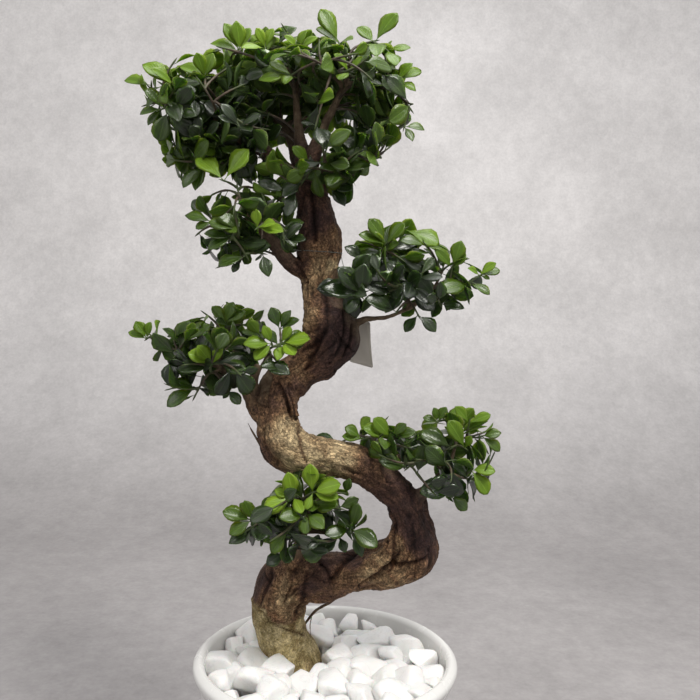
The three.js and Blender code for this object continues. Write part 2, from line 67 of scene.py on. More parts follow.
# The limbs that carry the pads of leaves, with the same four numbers, slimmer in the crown than the solid's
LIMBS = [
    [(-33, 3, 806, 12), (-37, 2, 837, 9.5), (-41, 2, 864, 5.4), (-45, 0, 906, 3.4), (-47, -2, 925, 2.8)],
    [(-28, 4, 795, 13), (-60, 0, 820, 9.2), (-82, -4, 838, 8), (-106, -8, 850, 6.2), (-134, -10, 862, 4.5)],
    [(-31, 4, 806, 11), (-22, -4, 837, 9), (-11, -10, 865, 5.2), (1, -14, 888, 4), (15, -18, 915, 3.3)],
    [(-33, 5, 800, 11), (-48, 34, 846, 7), (-58, 62, 878, 5.5), (-72, 84, 894, 4)],
    [(-25, 4, 786, 11), (-2, 4, 806, 7), (26, 6, 824, 5.2), (44, 12, 838, 4)],
    [
        (-17, 10, 702, 15), (-44, 0, 707, 9.6), (-64, -12, 729, 7.9), (-83, -22, 752, 6.2),
        (-92, -26, 764, 4.6),
    ],
    [(4, 11, 632, 13), (25, 8, 641, 6), (40, 4, 648, 3.4), (62, 0, 650, 2.4), (90, -4, 662, 2.3)],
    [(-14, 11, 676, 12), (8, 2, 680, 7), (30, -6, 692, 5), (48, -8, 703, 3.8)],
    [
        (-56, -14, 520, 16), (-82, -17, 545, 9.4), (-90, -18, 560, 7), (-100, -20, 575, 5.6),
        (-122, -22, 590, 4.4),
    ],
    [(-72, -15, 540, 10), (-86, -18, 560, 6), (-85, -21, 578, 5), (-79, -24, 594, 4.4)],
    [(86, -4, 436, 15), (108, -9, 452, 7), (124, -11, 466, 5.6), (136, -12, 482, 4.4)],
    [(64, -8, 464, 13), (72, -14, 484, 6), (80, -18, 494, 4.4)],
    [(-47, 30, 342, 20), (-37, 8, 376, 8.5), (-30, -12, 394, 6), (-26, -26, 410, 4.6)],
]
CROWN_LIMBS = LIMBS[:5]

# Strands that stand out on the bark where stems have grown together: x, y, z and radius in mm
STRANDS = [
    [
        (-14, 17, 324, 9), (9, 11, 335, 11.5), (30, 5, 350, 13), (50, 0, 362, 13.5), (64, -5, 374, 13),
        (76, -10, 392, 11), (83, -11, 413, 9),
    ],
    [
        (50, 4, 352, 8), (66, -3, 353, 10), (84, -9, 358, 12), (101, -12, 369, 12), (110, -9, 385, 11),
        (110, -2, 403, 8),
    ],
    [(-41, 8, 353, 7), (-44, 4, 341, 8), (-50, 3, 326, 8), (-58, 5, 310, 6.5)],
    [(-32, 16, 359, 10), (-7, 15, 358, 10), (20, 14, 360, 9)],
    [(-54, -28, 578, 4.5), (-48, -29, 566, 5.5), (-42, -27, 553, 5), (-37, -24, 537, 4)],
    [
        (-23, -8, 712, 7), (-23, -6, 686, 8), (-22, -8, 663, 9), (-20, -10, 640, 9.5), (-27, -9, 619, 9.5),
        (-37, -8, 602, 8),
    ],
    [(21, 2, 638, 10), (18, -3, 622, 12), (9, -2, 601, 11)],
    [
        (49, -24, 481, 9), (64, -20, 467, 11), (79, -18, 451, 11), (91, -17, 432, 11), (101, -19, 412, 11),
        (112, -16, 394, 10),
    ],
    [(104, 8, 445, 8), (110, 0, 425, 10), (115, -4, 405, 10), (117, 2, 384, 9)],
    [(-4, 0, 716, 7), (4, 4, 690, 8), (8, 8, 665, 9)],
    [(-32, 0, 796, 6), (-31, -3, 770, 7), (-30, -6, 740, 8), (-26, -8, 716, 7)],
]

# Knobs on the trunk, and dents where the last number is below 0: x, y, z, reach and height in mm
KNOBS = [
    (-72, -18, 480, 17, 7), (-90, 30, 328, 17, -5), (-50, -16, 468, 16, 3), (-88, 20, 366, 16, 5),
    (130, 4, 396, 17, -3.5), (108, 0, 356, 14, -1.5), (34, 0, 624, 9, 1.5), (-3, 3, 584, 9, 3.5),
    (-29, 0, 564, 11, 3.5), (-84, -10, 540, 12, 2), (119, -5, 425, 13, -5), (-46, 0, 640, 14, 1.5),
    (20, 8, 700, 12, 2), (-44, 4, 724, 12, 1.5),
]

# Creases on the bark's front: depth and half width in mm, then x and z in mm along each
CREASES = [
    (4.5, 2.4, [(4, 347), (13, 358), (23, 368), (38, 382), (54, 391)]),
    (3.5, 2.0, [(4, 347), (-1, 357), (-7, 364), (-17, 372)]),
    (4.5, 2.4, [(36, 343), (49, 352), (59, 360), (67, 369), (74, 373)]),
    (3.5, 2.0, [(67, 369), (76, 373), (88, 374), (100, 377), (112, 382)]),
    (2.5, 2.4, [(74, 374), (75, 387), (74, 402), (75, 417)]),
    (3.5, 1.4, [(-40, 339), (-44, 331), (-49, 322)]),
    (2.2, 2.2, [(-65, 353), (-67, 342), (-72, 330), (-79, 315)]),
    (2.2, 2.8, [(-23, 354), (-26, 338), (-29, 316), (-34, 302)]),
    (4.0, 1.6, [(-57, 576), (-52, 566), (-47, 555), (-43, 543), (-40, 534)]),
    (3.0, 1.4, [(-45, 573), (-43, 565), (-40, 555), (-38, 543), (-37, 534)]),
    (4.0, 2.6, [(-6, 673), (-5, 653), (-5, 633), (-12, 623), (-17, 612), (-22, 600), (-26, 591)]),
    (3.0, 1.8, [(14, 657), (16, 640), (15, 628), (12, 616), (6, 606)]),
    (3.0, 1.6, [(24, 642), (23, 628), (20, 616), (15, 605)]),
    (1.6, 1.8, [(-33, 532), (-32, 519), (-30, 507), (-27, 497), (-24, 489)]),
    (2.2, 1.1, [(-77, 307), (-73, 305), (-66, 296), (-48, 287), (-33, 279), (-26, 273)]),
    (3.2, 1.0, [(1, 606), (2, 607)]), (3.2, 1.1, [(-1, 597), (0, 597)]), (2.6, 0.9, [(4, 587), (5, 588)]),
    (4.5, 2.6, [(-24, 790), (-22, 769), (-21, 752), (-19, 735)]),
    (2.5, 1.8, [(-40, 710), (-33, 699), (-27, 688)]),
]

# The upper edge of the foot's smooth skin: x and z in mm
SKIN_EDGE = [(-90, 313), (-72, 308), (-63, 297), (-49, 294), (-26, 295), (0, 300)]

# How pale the bark is near some places on it, partly its own tan and purplish brown and partly painted light
# and shade, from 0 for purplish brown to 1 for tan: x, y, z in mm and tone
BARK_TONES_AND_LIGHT = [
    (-77, 0, 345, 0), (-50, -2, 324, 0.85), (-53, -2, 340, 0.7), (-46, -2, 308, 0.75), (-37, 0, 314, 0.6),
    (-61, -2, 310, 0.6), (-41, 0, 349, 0.55), (-26, 4, 335, 0.2), (3, 0, 365, 0.15), (26, -4, 349, 0.62),
    (58, -14, 370, 0.72), (44, -12, 360, 0.7), (76, -22, 395, 0.62), (86, -16, 357, 0.7),
    (104, -22, 368, 0.5), (110, -20, 394, 0.1), (92, -25, 413, 0.05), (30, 0, 372, 0.1),
    (92, -22, 440, 0.12), (75, -22, 459, 0.2), (49, -26, 477, 0.35), (13, -32, 497, 0.95),
    (-31, -38, 497, 1), (-47, -40, 524, 1), (-64, -38, 546, 0.45), (-44, -28, 562, 0.35),
    (-49, -28, 584, 0.45), (-33, -22, 598, 0.6), (5, -16, 601, 0.1), (22, -16, 624, -0.2),
    (30, -6, 640, -0.2), (-1, -20, 640, 0.1), (8, -14, 655, 0.05), (-26, -14, 645, 0.75),
    (-29, -10, 679, 0.8), (-4, -14, 679, 0.15), (-34, -10, 708, 0.3), (-14, -14, 706, 0.75),
    (-2, -14, 708, 1), (0, -12, 724, 0.5), (-20, -16, 757, 0.0), (-32, -12, 757, 0.2),
    (-8, -16, 757, 0.3), (2, -12, 745, 0.45), (-12, -14, 785, 0.25), (-60, -10, 722, 0.1),
    (-38, -10, 803, 0.15), (-77, -20, 493, 0.25), (-90, 40, 330, 0.3), (0, 60, 345, 0.25),
    (-66, 8, 286, 0.3), (-46, 5, 262, 0.95), (-30, 6, 246, 0.9), (-18, 8, 262, 0.45),
    (-72, 14, 262, 0.5), (-30, 6, 283, 0.5), (-50, 70, 262, 0.5), (95, 40, 380, 0.3),
    (70, 20, 460, 0.4), (0, 12, 490, 0.7), (-60, 14, 530, 0.6), (-20, 30, 600, 0.3),
    (0, 40, 640, 0.35), (-16, 32, 700, 0.4), (-24, 26, 770, 0.2),
]

# Fine roots: one hangs from under the arch to the back of the foot, a dead one clings to the lower bend
AERIAL_ROOT = [
    (12, 30, 320, 2.4), (4, 36, 309, 1.8), (-14, 48, 294, 1.6), (-30, 52, 272, 1.5), (-38, 50, 258, 1.6),
]
DEAD_ROOT = [
    (-91, -16, 528, 0.35), (-87, -18, 521, 0.9), (-81, -20, 512, 1.3), (-75, -20, 502, 1.4),
    (-68, -14, 491, 1.0),
]
FAINT_ROOT = [(-19, 46, 288, 0.5), (-21, 46, 276, 0.45), (-20, 45, 264, 0.4), (-22, 45, 250, 0.35)]

CAMERA_PLACE = Vector((22, -824, 623)) * MM  # where the photograph was taken from

LEAF_THICKNESS = 0.7 * MM  # of the solids' leaves, which tells them from the twigs
SECTION_SHARES = (0.44, 0.75)  # of a solid leaf's length, where its two sections lie
LEAF_DROOP = 0.16
TWIG_RADIUS = (2.2 * MM, 1.5 * MM)  # of the solids' twigs, at their base and at their tip
LEAVES_PER_SHOOT = 6
LEAF_SPACING = 5.4 * MM
LEAF_LENGTH = 37 * MM
LEAF_WIDTH_SHARE = 0.56
FORK_SETBACK = 1.3 * MM
STEM_GAP = 0.3 * MM


def draw(*numbers):
    """A repeatable draw between 0 and 1 for up to three whole numbers."""
    a, b, c = (list(numbers) + [0, 0])[:3]
    s = math.sin(a * 12.9898 + b * 78.233 + c * 37.719) * 43758.5453
    return s - math.floor(s)


def mix(a, b, share):
    """What lies at a share of the way from one value to another."""
    return a + (b - a) * share


def smooth_step(low, high, value):
    """How far a value is from low to high, from 0 to 1, with a soft start and end."""
    share = min(1.0, max(0.0, (value - low) / (high - low)))
    return share * share * (3 - 2 * share)


# Lines and rods

def centripetal(stations, step=3 * MM):
    """Points and radii along a centripetal Catmull-Rom curve through stations in mm, a step apart."""
    knots = [np.array(s, float) * MM for s in stations]
    knots = [2 * knots[0] - knots[1]] + knots + [2 * knots[-1] - knots[-2]]
    samples = []
    for p0, p1, p2, p3 in zip(knots, knots[1:], knots[2:], knots[3:]):
        t1 = math.sqrt(np.linalg.norm((p1 - p0)[:3]))
        t2 = t1 + math.sqrt(np.linalg.norm((p2 - p1)[:3]))
        t3 = t2 + math.sqrt(np.linalg.norm((p3 - p2)[:3]))
        for t in np.linspace(t1, t2, 12, endpoint=False):
            a1 = mix(p0, p1, t / t1)
            a2 = mix(p1, p2, (t - t1) / (t2 - t1))
            a3 = mix(p2, p3, (t - t2) / (t3 - t2))
            b1 = mix(a1, a2, t / t2)
            b2 = mix(a2, a3, (t - t1) / (t3 - t1))
            samples.append(mix(b1, b2, (t - t1) / (t2 - t1)))
    samples.append(knots[-2])
    samples = np.array(samples)
    walked = np.concatenate([[0], np.cumsum(np.linalg.norm(np.diff(samples[:, :3], axis=0), axis=1))])
    places = np.linspace(0, walked[-1], max(2, round(walked[-1] / step)) + 1)
    even = np.array([np.interp(places, walked, samples[:, i]) for i in range(4)]).T
    return [Vector(row[:3]) for row in even], [row[3] for row in even]


def bezier(corners, count):
    """Points along a Bezier curve, evenly spread over its length."""
    line = []
    for t in np.linspace(0, 1, 40):
        points = list(corners)
        while len(points) > 1:
            points = [a.lerp(b, t) for a, b in zip(points, points[1:])]
        line.append(points[0])
    return [at_share(line, share)[0] for share in np.linspace(0, 1, count)]


def at_share(line, share):
    """The point at a share of a line's length, and the line's direction there."""
    steps = [(b - a).length for a, b in zip(line, line[1:])]
    left = share * sum(steps)
    for i, step in enumerate(steps):
        if left <= step or i == len(steps) - 1:
            return line[i].lerp(line[i + 1], left / step), (line[i + 1] - line[i]).normalized()
        left -= step


def length_of(line):
    """A line's length from end to end."""
    return sum((b - a).length for a, b in zip(line, line[1:]))


def apart_from(line, place):
    """How far a place is from the nearest point of a line."""
    return min((point - place).length for point in line)


def carried_frames(line):
    """A direction across the line at each point, carried along it without a twist."""
    tangents = [(b - a).normalized() for a, b in zip(line, line[1:])]
    tangents.append(tangents[-1])
    across = tangents[0].orthogonal().normalized()
    frames = []
    for before, now in zip([tangents[0]] + tangents, tangents):
        across = before.rotation_difference(now) @ across
        across = (across - now * across.dot(now)).normalized()
        frames.append((across, now.cross(across), now))
    return frames


def rods(lines, sides):
    """One mesh of round rods with closed ends, from (points, radii) pairs."""
    curve = bpy.data.curves.new("rods", "CURVE")
    curve.dimensions = "3D"
    curve.bevel_depth = 1.0
    curve.bevel_resolution = sides // 2 - 2
    curve.use_fill_caps = True
    for points, radii in lines:
        spline = curve.splines.new("POLY")
        spline.points.add(len(points) - 1)
        for point, place, radius in zip(spline.points, points, radii):
            point.co = (*place, 1)
            point.radius = radius
    holder = bpy.data.objects.new("rods", curve)
    bpy.context.scene.collection.objects.link(holder)
    mesh = finished_mesh(holder)
    bpy.data.objects.remove(holder)
    return mesh


def finished_mesh(holder):
    """An object's mesh with its modifiers or bevel worked in."""
    depsgraph = bpy.context.evaluated_depsgraph_get()
    depsgraph.update()
    return bpy.data.meshes.new_from_object(holder.evaluated_get(depsgraph), depsgraph=depsgraph)


def new_piece(name, mesh, *finishes, smooth=True):
    """An object in the scene with this mesh and these finishes."""
    piece = bpy.data.objects.new(name, mesh)
    bpy.context.scene.collection.objects.link(piece)
    for finish in finishes:
        mesh.materials.append(finish)
    if smooth:
        mesh.shade_smooth()
    else:
        mesh.shade_flat()
    return piece


def to_mesh(name, form):
    """A mesh from a bmesh, with its faces turned outwards."""
    bmesh.ops.recalc_face_normals(form, faces=form.faces[:])
    mesh = bpy.data.meshes.new(name)
    form.to_mesh(mesh)
    form.free()
    return mesh


def rub_down(form, verts, factor):
    """Draw each point towards its neighbours."""
    bmesh.ops.smooth_vert(form, verts=verts, factor=factor, use_axis_x=True, use_axis_y=True, use_axis_z=True)


# What the solids say about each spray

def welded(node):
    """A solid's mesh as a bmesh whose faces share their corners."""
    form = bmesh.new()
    form.from_mesh(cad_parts[node].data)
    bmesh.ops.remove_doubles(form, verts=form.verts, dist=0.005 * MM)
    return form


class Leaf:
    """A leaf: its root, the ways it grows and faces there, its length, and its age from 0, old, to 1, with
    painted light and shade mixed into it.
    """

    def __init__(self, root, along, normal, length, age_and_light=0.0):
        self.root = root
        self.along = along.normalized()
        self.normal = (normal - self.along * normal.dot(self.along)).normalized()
        self.length = length
        self.age_and_light = age_and_light

    def point(self, share, across=0.0):
        """A point on the leaf, at a share of its length and of its half width."""
        side = self.along.cross(self.normal)
        drop = LEAF_DROOP * share * share
        width = across * LEAF_WIDTH_SHARE / 2
        return self.root + self.length * (self.along * share - self.normal * drop + side * width)

    def probes(self):
        """Points by which leaves are kept apart: three along the leaf and one near each edge."""
        along_it = [self.point(share) for share in (0.4, 0.7, 0.97)]
        return along_it + [self.point(0.6, 0.75), self.point(0.6, -0.75)]


class Shoot:
    """A leafy twig: its line from where it branches to its tip, and its leaves."""

    def __init__(self, line, leaves=()):
        self.line = line
        self.leaves = list(leaves)


def solid_leaves(form):
    """The leaves of a spray's solid. The rim of each is five short edges: two at each section, one at the
    tip."""
    partners = {}
    for edge in form.edges:
        if abs(edge.calc_length() - LEAF_THICKNESS) < 0.02 * MM:
            for vert in edge.verts:
                partners[vert] = edge.other_vert(vert)
    leaves = []
    seen = set()
    for start in partners:
        if start in seen:
            continue
        island = set()
        reached = [start]
        while reached:
            vert = reached.pop()
            if vert not in island:
                island.add(vert)
                reached += [e.other_vert(vert) for e in vert.link_edges if e.other_vert(vert) in partners]
        seen |= island
        middles = {frozenset((v.index, partners[v].index)): (v.co + partners[v].co) / 2 for v in island}
        if len(island) == 10 and len(middles) == 5:
            leaves.append(leaf_through(list(middles.values())))
    return leaves


def leaf_through(middles):
    """The leaf that has these five rim points: its tip's, and two at each of its sections."""
    def lopsided(tip):
        reach = sorted((p - tip).length for p in middles if p is not tip)
        return abs(reach[0] - reach[1]) + abs(reach[2] - reach[3])

    tip = min(middles, key=lopsided)
    rim = [p for p in middles if p is not tip]
    near_a, near_b, far_a, far_b = sorted(rim, key=lambda p: (p - tip).length)
    upper, lower = (near_a + near_b) / 2, (far_a + far_b) / 2
    # Each lies at root + share * along - droop * share^2 * normal, in lengths: solved for along and normal
    lower_share, upper_share = SECTION_SHARES
    a, b = 1 - lower_share, LEAF_DROOP * (1 - lower_share ** 2)
    c, d = 1 - upper_share, LEAF_DROOP * (1 - upper_share ** 2)
    det = b * c - a * d
    along = ((tip - upper) * b - (tip - lower) * d) / det
    normal = ((tip - upper) * a - (tip - lower) * c) / det
    root = tip - along + normal * LEAF_DROOP
    return Leaf(root, along, normal, along.length)


def end_faces(form, radius):
    """The three-sided ends of the twigs that have this radius."""
    side = radius * math.sqrt(3)
    return [f for f in form.faces if all(abs(e.calc_length() - side) < 0.02 * MM for e in f.edges)]


class Spray:
    """A spray: the pad it belongs to, its shoots, and where and which way its stem arrives."""

    def __init__(self, pad, shoots, start, heading):
        self.pad = pad
        self.shoots = shoots
        self.start = start
        self.heading = heading

    def all_leaves(self):
        """The leaves of all its shoots."""
        return [leaf for shoot in self.shoots for leaf in shoot.leaves]


def spray_of(node):
    """A spray as its solid has it, read from the solid's twig ends and leaves. The order of tips that fits
    the leaves best tells the main shoot from the side shoots."""
    form = welded(node)
    form.verts.index_update()
    base = end_faces(form, TWIG_RADIUS[0])[0]
    start, heading = base.calc_center_median(), -base.normal
    tips = [f.calc_center_median() for f in end_faces(form, TWIG_RADIUS[1])]
    leaves = solid_leaves(form)
    form.free()
    best = None
    for order in itertools.permutations(tips):
        lines = shoot_lines(start, heading, order)
        misses = sum(min(apart_from(line, leaf.root) for line in lines) for leaf in leaves)
        if best is None or misses < best[0]:
            best = (misses, lines)
    shoots = [Shoot(line) for line in best[1]]
    for leaf in leaves:
        owner = min(shoots, key=lambda shoot: apart_from(shoot.line, leaf.root))
        owner.leaves.append(leaf)
    for shoot in shoots:
        shoot.leaves.sort(key=lambda leaf: (shoot.line[-1] - leaf.root).length)
    return Spray(node.split("_spray_")[0], shoots, start, heading)


def shoot_line(start, heading, tip):
    """A twig's line, which sets out along a heading and ends at its tip."""
    reach = (tip - start).length
    return bezier([start, start + heading * 0.4 * reach, tip], 25)


def shoot_lines(start, heading, tips):
    """The main shoot's line, and those of the side shoots that fork from it one after the other."""
    main = shoot_line(start, heading, tips[0])
    length = length_of(main)
    leafy = min(LEAF_SPACING * LEAVES_PER_SHOOT, 0.75 * length) / length
    lines = [main]
    for share, tip in zip(((1 - leafy) / 2, 1 - leafy), tips[1:]):
        fork, axis = at_share(main, share)
        lines.append(shoot_line(fork - axis * FORK_SETBACK, axis, tip))
    return lines


sprays = {name: spray_of(name) for name in sorted(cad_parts) if "_spray_" in name}


# Finishes

class Finish:
    """A material built up from nodes. Its sockets' names have underscores, and take a value or a socket."""

    def __init__(self, name, **values):
        self.material = bpy.data.materials.new(name)
        self.material.use_nodes = True
        self.tree = self.material.node_tree
        self.shader = self.tree.nodes["Principled BSDF"]
        self.fill(self.shader, values)

    def fill(self, node, values):
        """Set a node's sockets, or link them where the value is a socket."""
        for name, value in values.items():
            socket = node.inputs[int(name[1:]) if name[0] == "_" else name.replace("_", " ")]
            if isinstance(value, bpy.types.NodeSocket):
                self.tree.links.new(value, socket)
            else:
                socket.default_value = value

    def node(self, kind, settings=None, **values):
        """A new node of a kind, with its own settings and its sockets' values."""
        node = self.tree.nodes.new("ShaderNode" + kind)
        for name, value in (settings or {}).items():
            setattr(node, name, value)
        self.fill(node, values)
        return node

    def place(self, name=None, kind="Vector"):
        """A coordinate: the object's own, or a named attribute of the mesh."""
        if name is None:
            return self.node("TexCoord").outputs["Object"]
        return self.node("Attribute", {"attribute_name": name}).outputs[kind]

    def stretched(self, place, x, y, z):
        """A coordinate scaled along each axis."""
        return self.node("Mapping", Vector=place, Scale=(x, y, z)).outputs["Vector"]

    def cloud(self, place, scale, detail=3.0, roughness=0.55, distortion=0.0):
        """Soft noise with this many clouds a metre."""
        made = self.node("TexNoise", Vector=place, Scale=scale, Detail=detail, Roughness=roughness,
                         Distortion=distortion)
        return made.outputs["Fac"]

    def ramp(self, value, *stops):
        """Colours or shades along a value, as (place, colour) pairs."""
        made = self.node("ValToRGB", Fac=value)
        elements = made.color_ramp.elements
        while len(elements) < len(stops):
            elements.new(0.5)
        for element, (place, colour) in zip(elements, stops):
            element.position = place
            element.color = (*colour, 1) if isinstance(colour, tuple) else (colour, colour, colour, 1)
        return made.outputs["Color"]

    def blend(self, share, first, second, way="MIX"):
        """Two colours put together, by a share."""
        made = self.node("Mix", {"data_type": "RGBA", "blend_type": way}, _0=share)
        self.fill(made, {"_6": first, "_7": second})
        return made.outputs[2]

    def shaded(self, colour, share, value, *stops):
        """A colour multiplied, as far as a share says, by the ramp along a value."""
        return self.blend(share, colour, self.ramp(value, *stops), "MULTIPLY")

    def math(self, way, first, second):
        """Two numbers put together."""
        return self.node("Math", {"operation": way}, _0=first, _1=second).outputs[0]

    def bump(self, height, distance, strength=1.0, under=None):
        """A relief of this height, on top of the one under it."""
        made = self.node("Bump", Height=height, Distance=distance, Strength=strength)
        if under is not None:
            self.fill(made, {"Normal": under})
        return made.outputs["Normal"]


def bark_finish():
    """Flaky bark, from purplish brown to tan with painted light and shade mixed in, with the smoother olive
    skin of the foot.
    """
    bark = Finish("bark", Roughness=0.75, Specular_IOR_Level=0.25)
    grain = bark.place("grain")
    # The listed pale and dark places are partly the bark's own colour and partly painted light and shade
    listed_tone_and_light = bark.place("tone_and_light", "Fac")
    patches = bark.math("SUBTRACT", bark.cloud(grain, 45, 5, 0.62, 0.5), 0.5)
    tone_and_light = bark.math("ADD", listed_tone_and_light, patches)

    # Plates and flakes
    colour = bark.ramp(tone_and_light, (0.05, (0.048, 0.025, 0.023)), (0.3, (0.105, 0.055, 0.038)),
                       (0.55, (0.2, 0.112, 0.058)), (0.8, (0.33, 0.225, 0.12)), (1.0, (0.46, 0.35, 0.2)))
    warp = bark.node("Mix", {"data_type": "VECTOR"}, _0=0.004, _4=grain,
                     _5=bark.node("TexNoise", Vector=grain, Scale=120).outputs["Color"]).outputs[1]
    flaky = bark.stretched(warp, 330, 330, 190)
    edges = bark.node("TexVoronoi", {"feature": "DISTANCE_TO_EDGE"}, Vector=flaky, Scale=1.0)
    flakes = edges.outputs["Distance"]
    shades = bark.node("TexVoronoi", Vector=flaky, Scale=1.0)
    shade = bark.node("SeparateColor", Color=shades.outputs["Color"]).outputs[0]
    flakiness = bark.ramp(tone_and_light, (0.15, 0.3), (0.65, 0.7))
    colour = bark.shaded(colour, flakiness, shade, (0.0, 0.5), (0.6, 0.95), (1.0, 1.5))
    specks = bark.cloud(grain, 420, 5, 0.7, 0.6)
    grit = bark.ramp(tone_and_light, (0.15, 0.6), (0.5, 1.0), (0.95, 0.7))
    colour = bark.shaded(colour, grit, specks, (0.36, 0.22), (0.5, 0.85), (0.62, 1.7))
    streaks = bark.cloud(bark.stretched(grain, 210, 210, 26), 1.0, 4, 0.6, 0.5)
    colour = bark.shaded(colour, 0.75, streaks, (0.34, 0.5), (0.5, 1.0), (0.66, 1.6))
    cracks = bark.ramp(flakes, (0.0, 0.0), (0.16, 1.0))
    colour = bark.shaded(colour, 0.35, flakes, (0.0, 0.35), (0.14, 1.0))
    wrinkles = bark.cloud(bark.stretched(grain, 90, 90, 480), 1.0, 3, 0.6, 0.4)

    # The foot's smooth skin
    skin = bark.ramp(bark.cloud(grain, 70, 7, 0.72), (0.34, (0.14, 0.095, 0.04)), (0.47, (0.3, 0.235, 0.105)),
                     (0.64, (0.56, 0.46, 0.26)))
    skin = bark.shaded(skin, 0.9, specks, (0.36, 0.4), (0.5, 0.9), (0.64, 1.5))
    stains = bark.cloud(grain, 34, 4, 0.6, 0.8)
    skin = bark.shaded(skin, 0.8, stains, (0.38, (0.5, 0.38, 0.3)), (0.5, (1.0, 1.0, 1.0)))
    # Painted light and shade from the listed places also fall on the foot's skin
    skin = bark.shaded(skin, 1.0, listed_tone_and_light, (0.3, 0.7), (0.9, 1.27))
    foot = bark.place("foot", "Fac")
    colour = bark.blend(foot, colour, skin)

    # Young wood, and painted shade that darkens the creases
    young = bark.ramp(bark.cloud(grain, 120, 4), (0.35, (0.085, 0.055, 0.035)), (0.65, (0.19, 0.14, 0.09)))
    colour = bark.blend(bark.place("young", "Fac"), colour, young)
    painted_crease_shade = bark.blend(1.0, colour, (0.24, 0.17, 0.15, 1), "MULTIPLY")
    colour = bark.blend(bark.place("crease_shade", "Fac"), colour, painted_crease_shade)

    depth = bark.blend(foot, cracks, (0.7, 0.7, 0.7, 1))
    cracked = bark.bump(depth, 0.7 * MM, 0.9)
    gritty = bark.bump(specks, 0.8 * MM, 0.8, cracked)
    rough = bark.bump(wrinkles, 0.7 * MM, 0.6, gritty)
    bark.fill(bark.shader, {"Base Color": colour, "Normal": rough})
    return bark.material


AGE_AND_LIGHT_STOPS = (0.0, 0.2, 0.48, 0.75, 1.0)  # of leaves, from old and darkened by painted shade to young and paled by painted light, at which their colours are given
UPPER_GREENS = (
    (0.005, 0.01, 0.0035), (0.017, 0.032, 0.006), (0.06, 0.11, 0.008), (0.1, 0.175, 0.012),
    (0.18, 0.29, 0.02),
)
UNDER_GREENS = (
    (0.018, 0.03, 0.01), (0.04, 0.068, 0.016), (0.085, 0.14, 0.02), (0.13, 0.21, 0.026),
    (0.2, 0.3, 0.04),
)


def leaf_finish(name, colours, roughness, gloss, coat):
    """Green that runs from an old leaf's in painted shade to a young one's in painted light, with a pale
    midrib, a pale edge that is partly a painted rim highlight, and faint side veins.
    The older the leaf, the glossier it is."""
    leaf = Finish(name, Roughness=roughness, Coat_Roughness=0.2, Subsurface_Weight=0.2,
                  Subsurface_Radius=(0.7, 1.0, 0.25), Subsurface_Scale=0.0025)
    blade = leaf.node("UVMap", {"uv_map": "blade"}).outputs["UV"]
    parts = leaf.node("SeparateXYZ", Vector=blade)
    aside = leaf.math("ABSOLUTE", leaf.math("SUBTRACT", parts.outputs["X"], 0.5), 0.0)
    age_and_light = leaf.place("age_and_light", "Fac")
    blotches = leaf.cloud(leaf.place(), 55, 3)
    aged_and_lit = leaf.math("ADD", age_and_light, leaf.math("MULTIPLY", leaf.math("SUBTRACT", blotches, 0.5), 0.35))
    colour = leaf.ramp(aged_and_lit, *zip(AGE_AND_LIGHT_STOPS, colours))
    midrib = leaf.ramp(aside, (0.0, 1.0), (0.022, 0.55), (0.05, 0.0))
    paler = leaf.blend(1.0, colour, (1.35, 1.35, 1.6, 1), "MULTIPLY")
    paler = leaf.blend(1.0, paler, (0.012, 0.018, 0.005, 1), "ADD")
    # The pale edge is partly the margin's own paleness and partly a painted rim highlight
    edge = leaf.ramp(aside, (0.44, 0.0), (0.49, 0.7))
    colour = leaf.blend(edge, leaf.blend(midrib, colour, paler), paler)
    upwards = leaf.math("MULTIPLY", parts.outputs["Y"], 62.0)
    outwards = leaf.math("MULTIPLY", aside, 55.0)
    veins = leaf.math("SINE", leaf.math("SUBTRACT", upwards, outwards), 0.0)
    relief = leaf.bump(veins, 0.12 * MM, 0.5, leaf.bump(midrib, 0.25 * MM, 0.8))
    sheen = leaf.ramp(age_and_light, (0.15, gloss), (0.55, 0.4 * gloss))
    varnish = leaf.ramp(age_and_light, (0.15, coat), (0.55, 0.3 * coat))
    leaf.fill(leaf.shader, {"Base Color": colour, "Normal": relief,
                            "Specular IOR Level": sheen, "Coat Weight": varnish})
    return leaf.material


def twig_finish():
    """Brown twigs with green tips."""
    twig = Finish("twig", Roughness=0.6)
    clouds = twig.cloud(twig.place(), 260, 4)
    brown = twig.ramp(clouds, (0.35, (0.034, 0.023, 0.015)), (0.65, (0.095, 0.066, 0.042)))
    green_tips = twig.blend(twig.place("age_and_light", "Fac"), brown, (0.055, 0.08, 0.022, 1))
    twig.fill(twig.shader, {"Base Color": green_tips})
    return twig.material


def marble_finish():
    """Tumbled white marble: cloudy, with a few faint grey veins."""
    marble = Finish("marble", Roughness=0.42, Subsurface_Weight=0.12, Subsurface_Scale=0.004)
    place = marble.place()
    clouds = marble.ramp(marble.cloud(place, 38, 4), (0.3, (0.8, 0.79, 0.775)), (0.6, (0.88, 0.875, 0.862)))
    veins = marble.cloud(place, 30, 6, 0.6, 1.6)
    colour = marble.shaded(clouds, 0.6, veins, (0.485, 1.0), (0.5, 0.82), (0.515, 1.0))
    grit = marble.bump(marble.cloud(place, 900, 3), 0.12 * MM, 0.5)
    rough = marble.bump(marble.cloud(place, 120, 4), 0.5 * MM, 0.5, grit)
    marble.fill(marble.shader, {"Base Color": colour, "Normal": rough})
    return marble.material


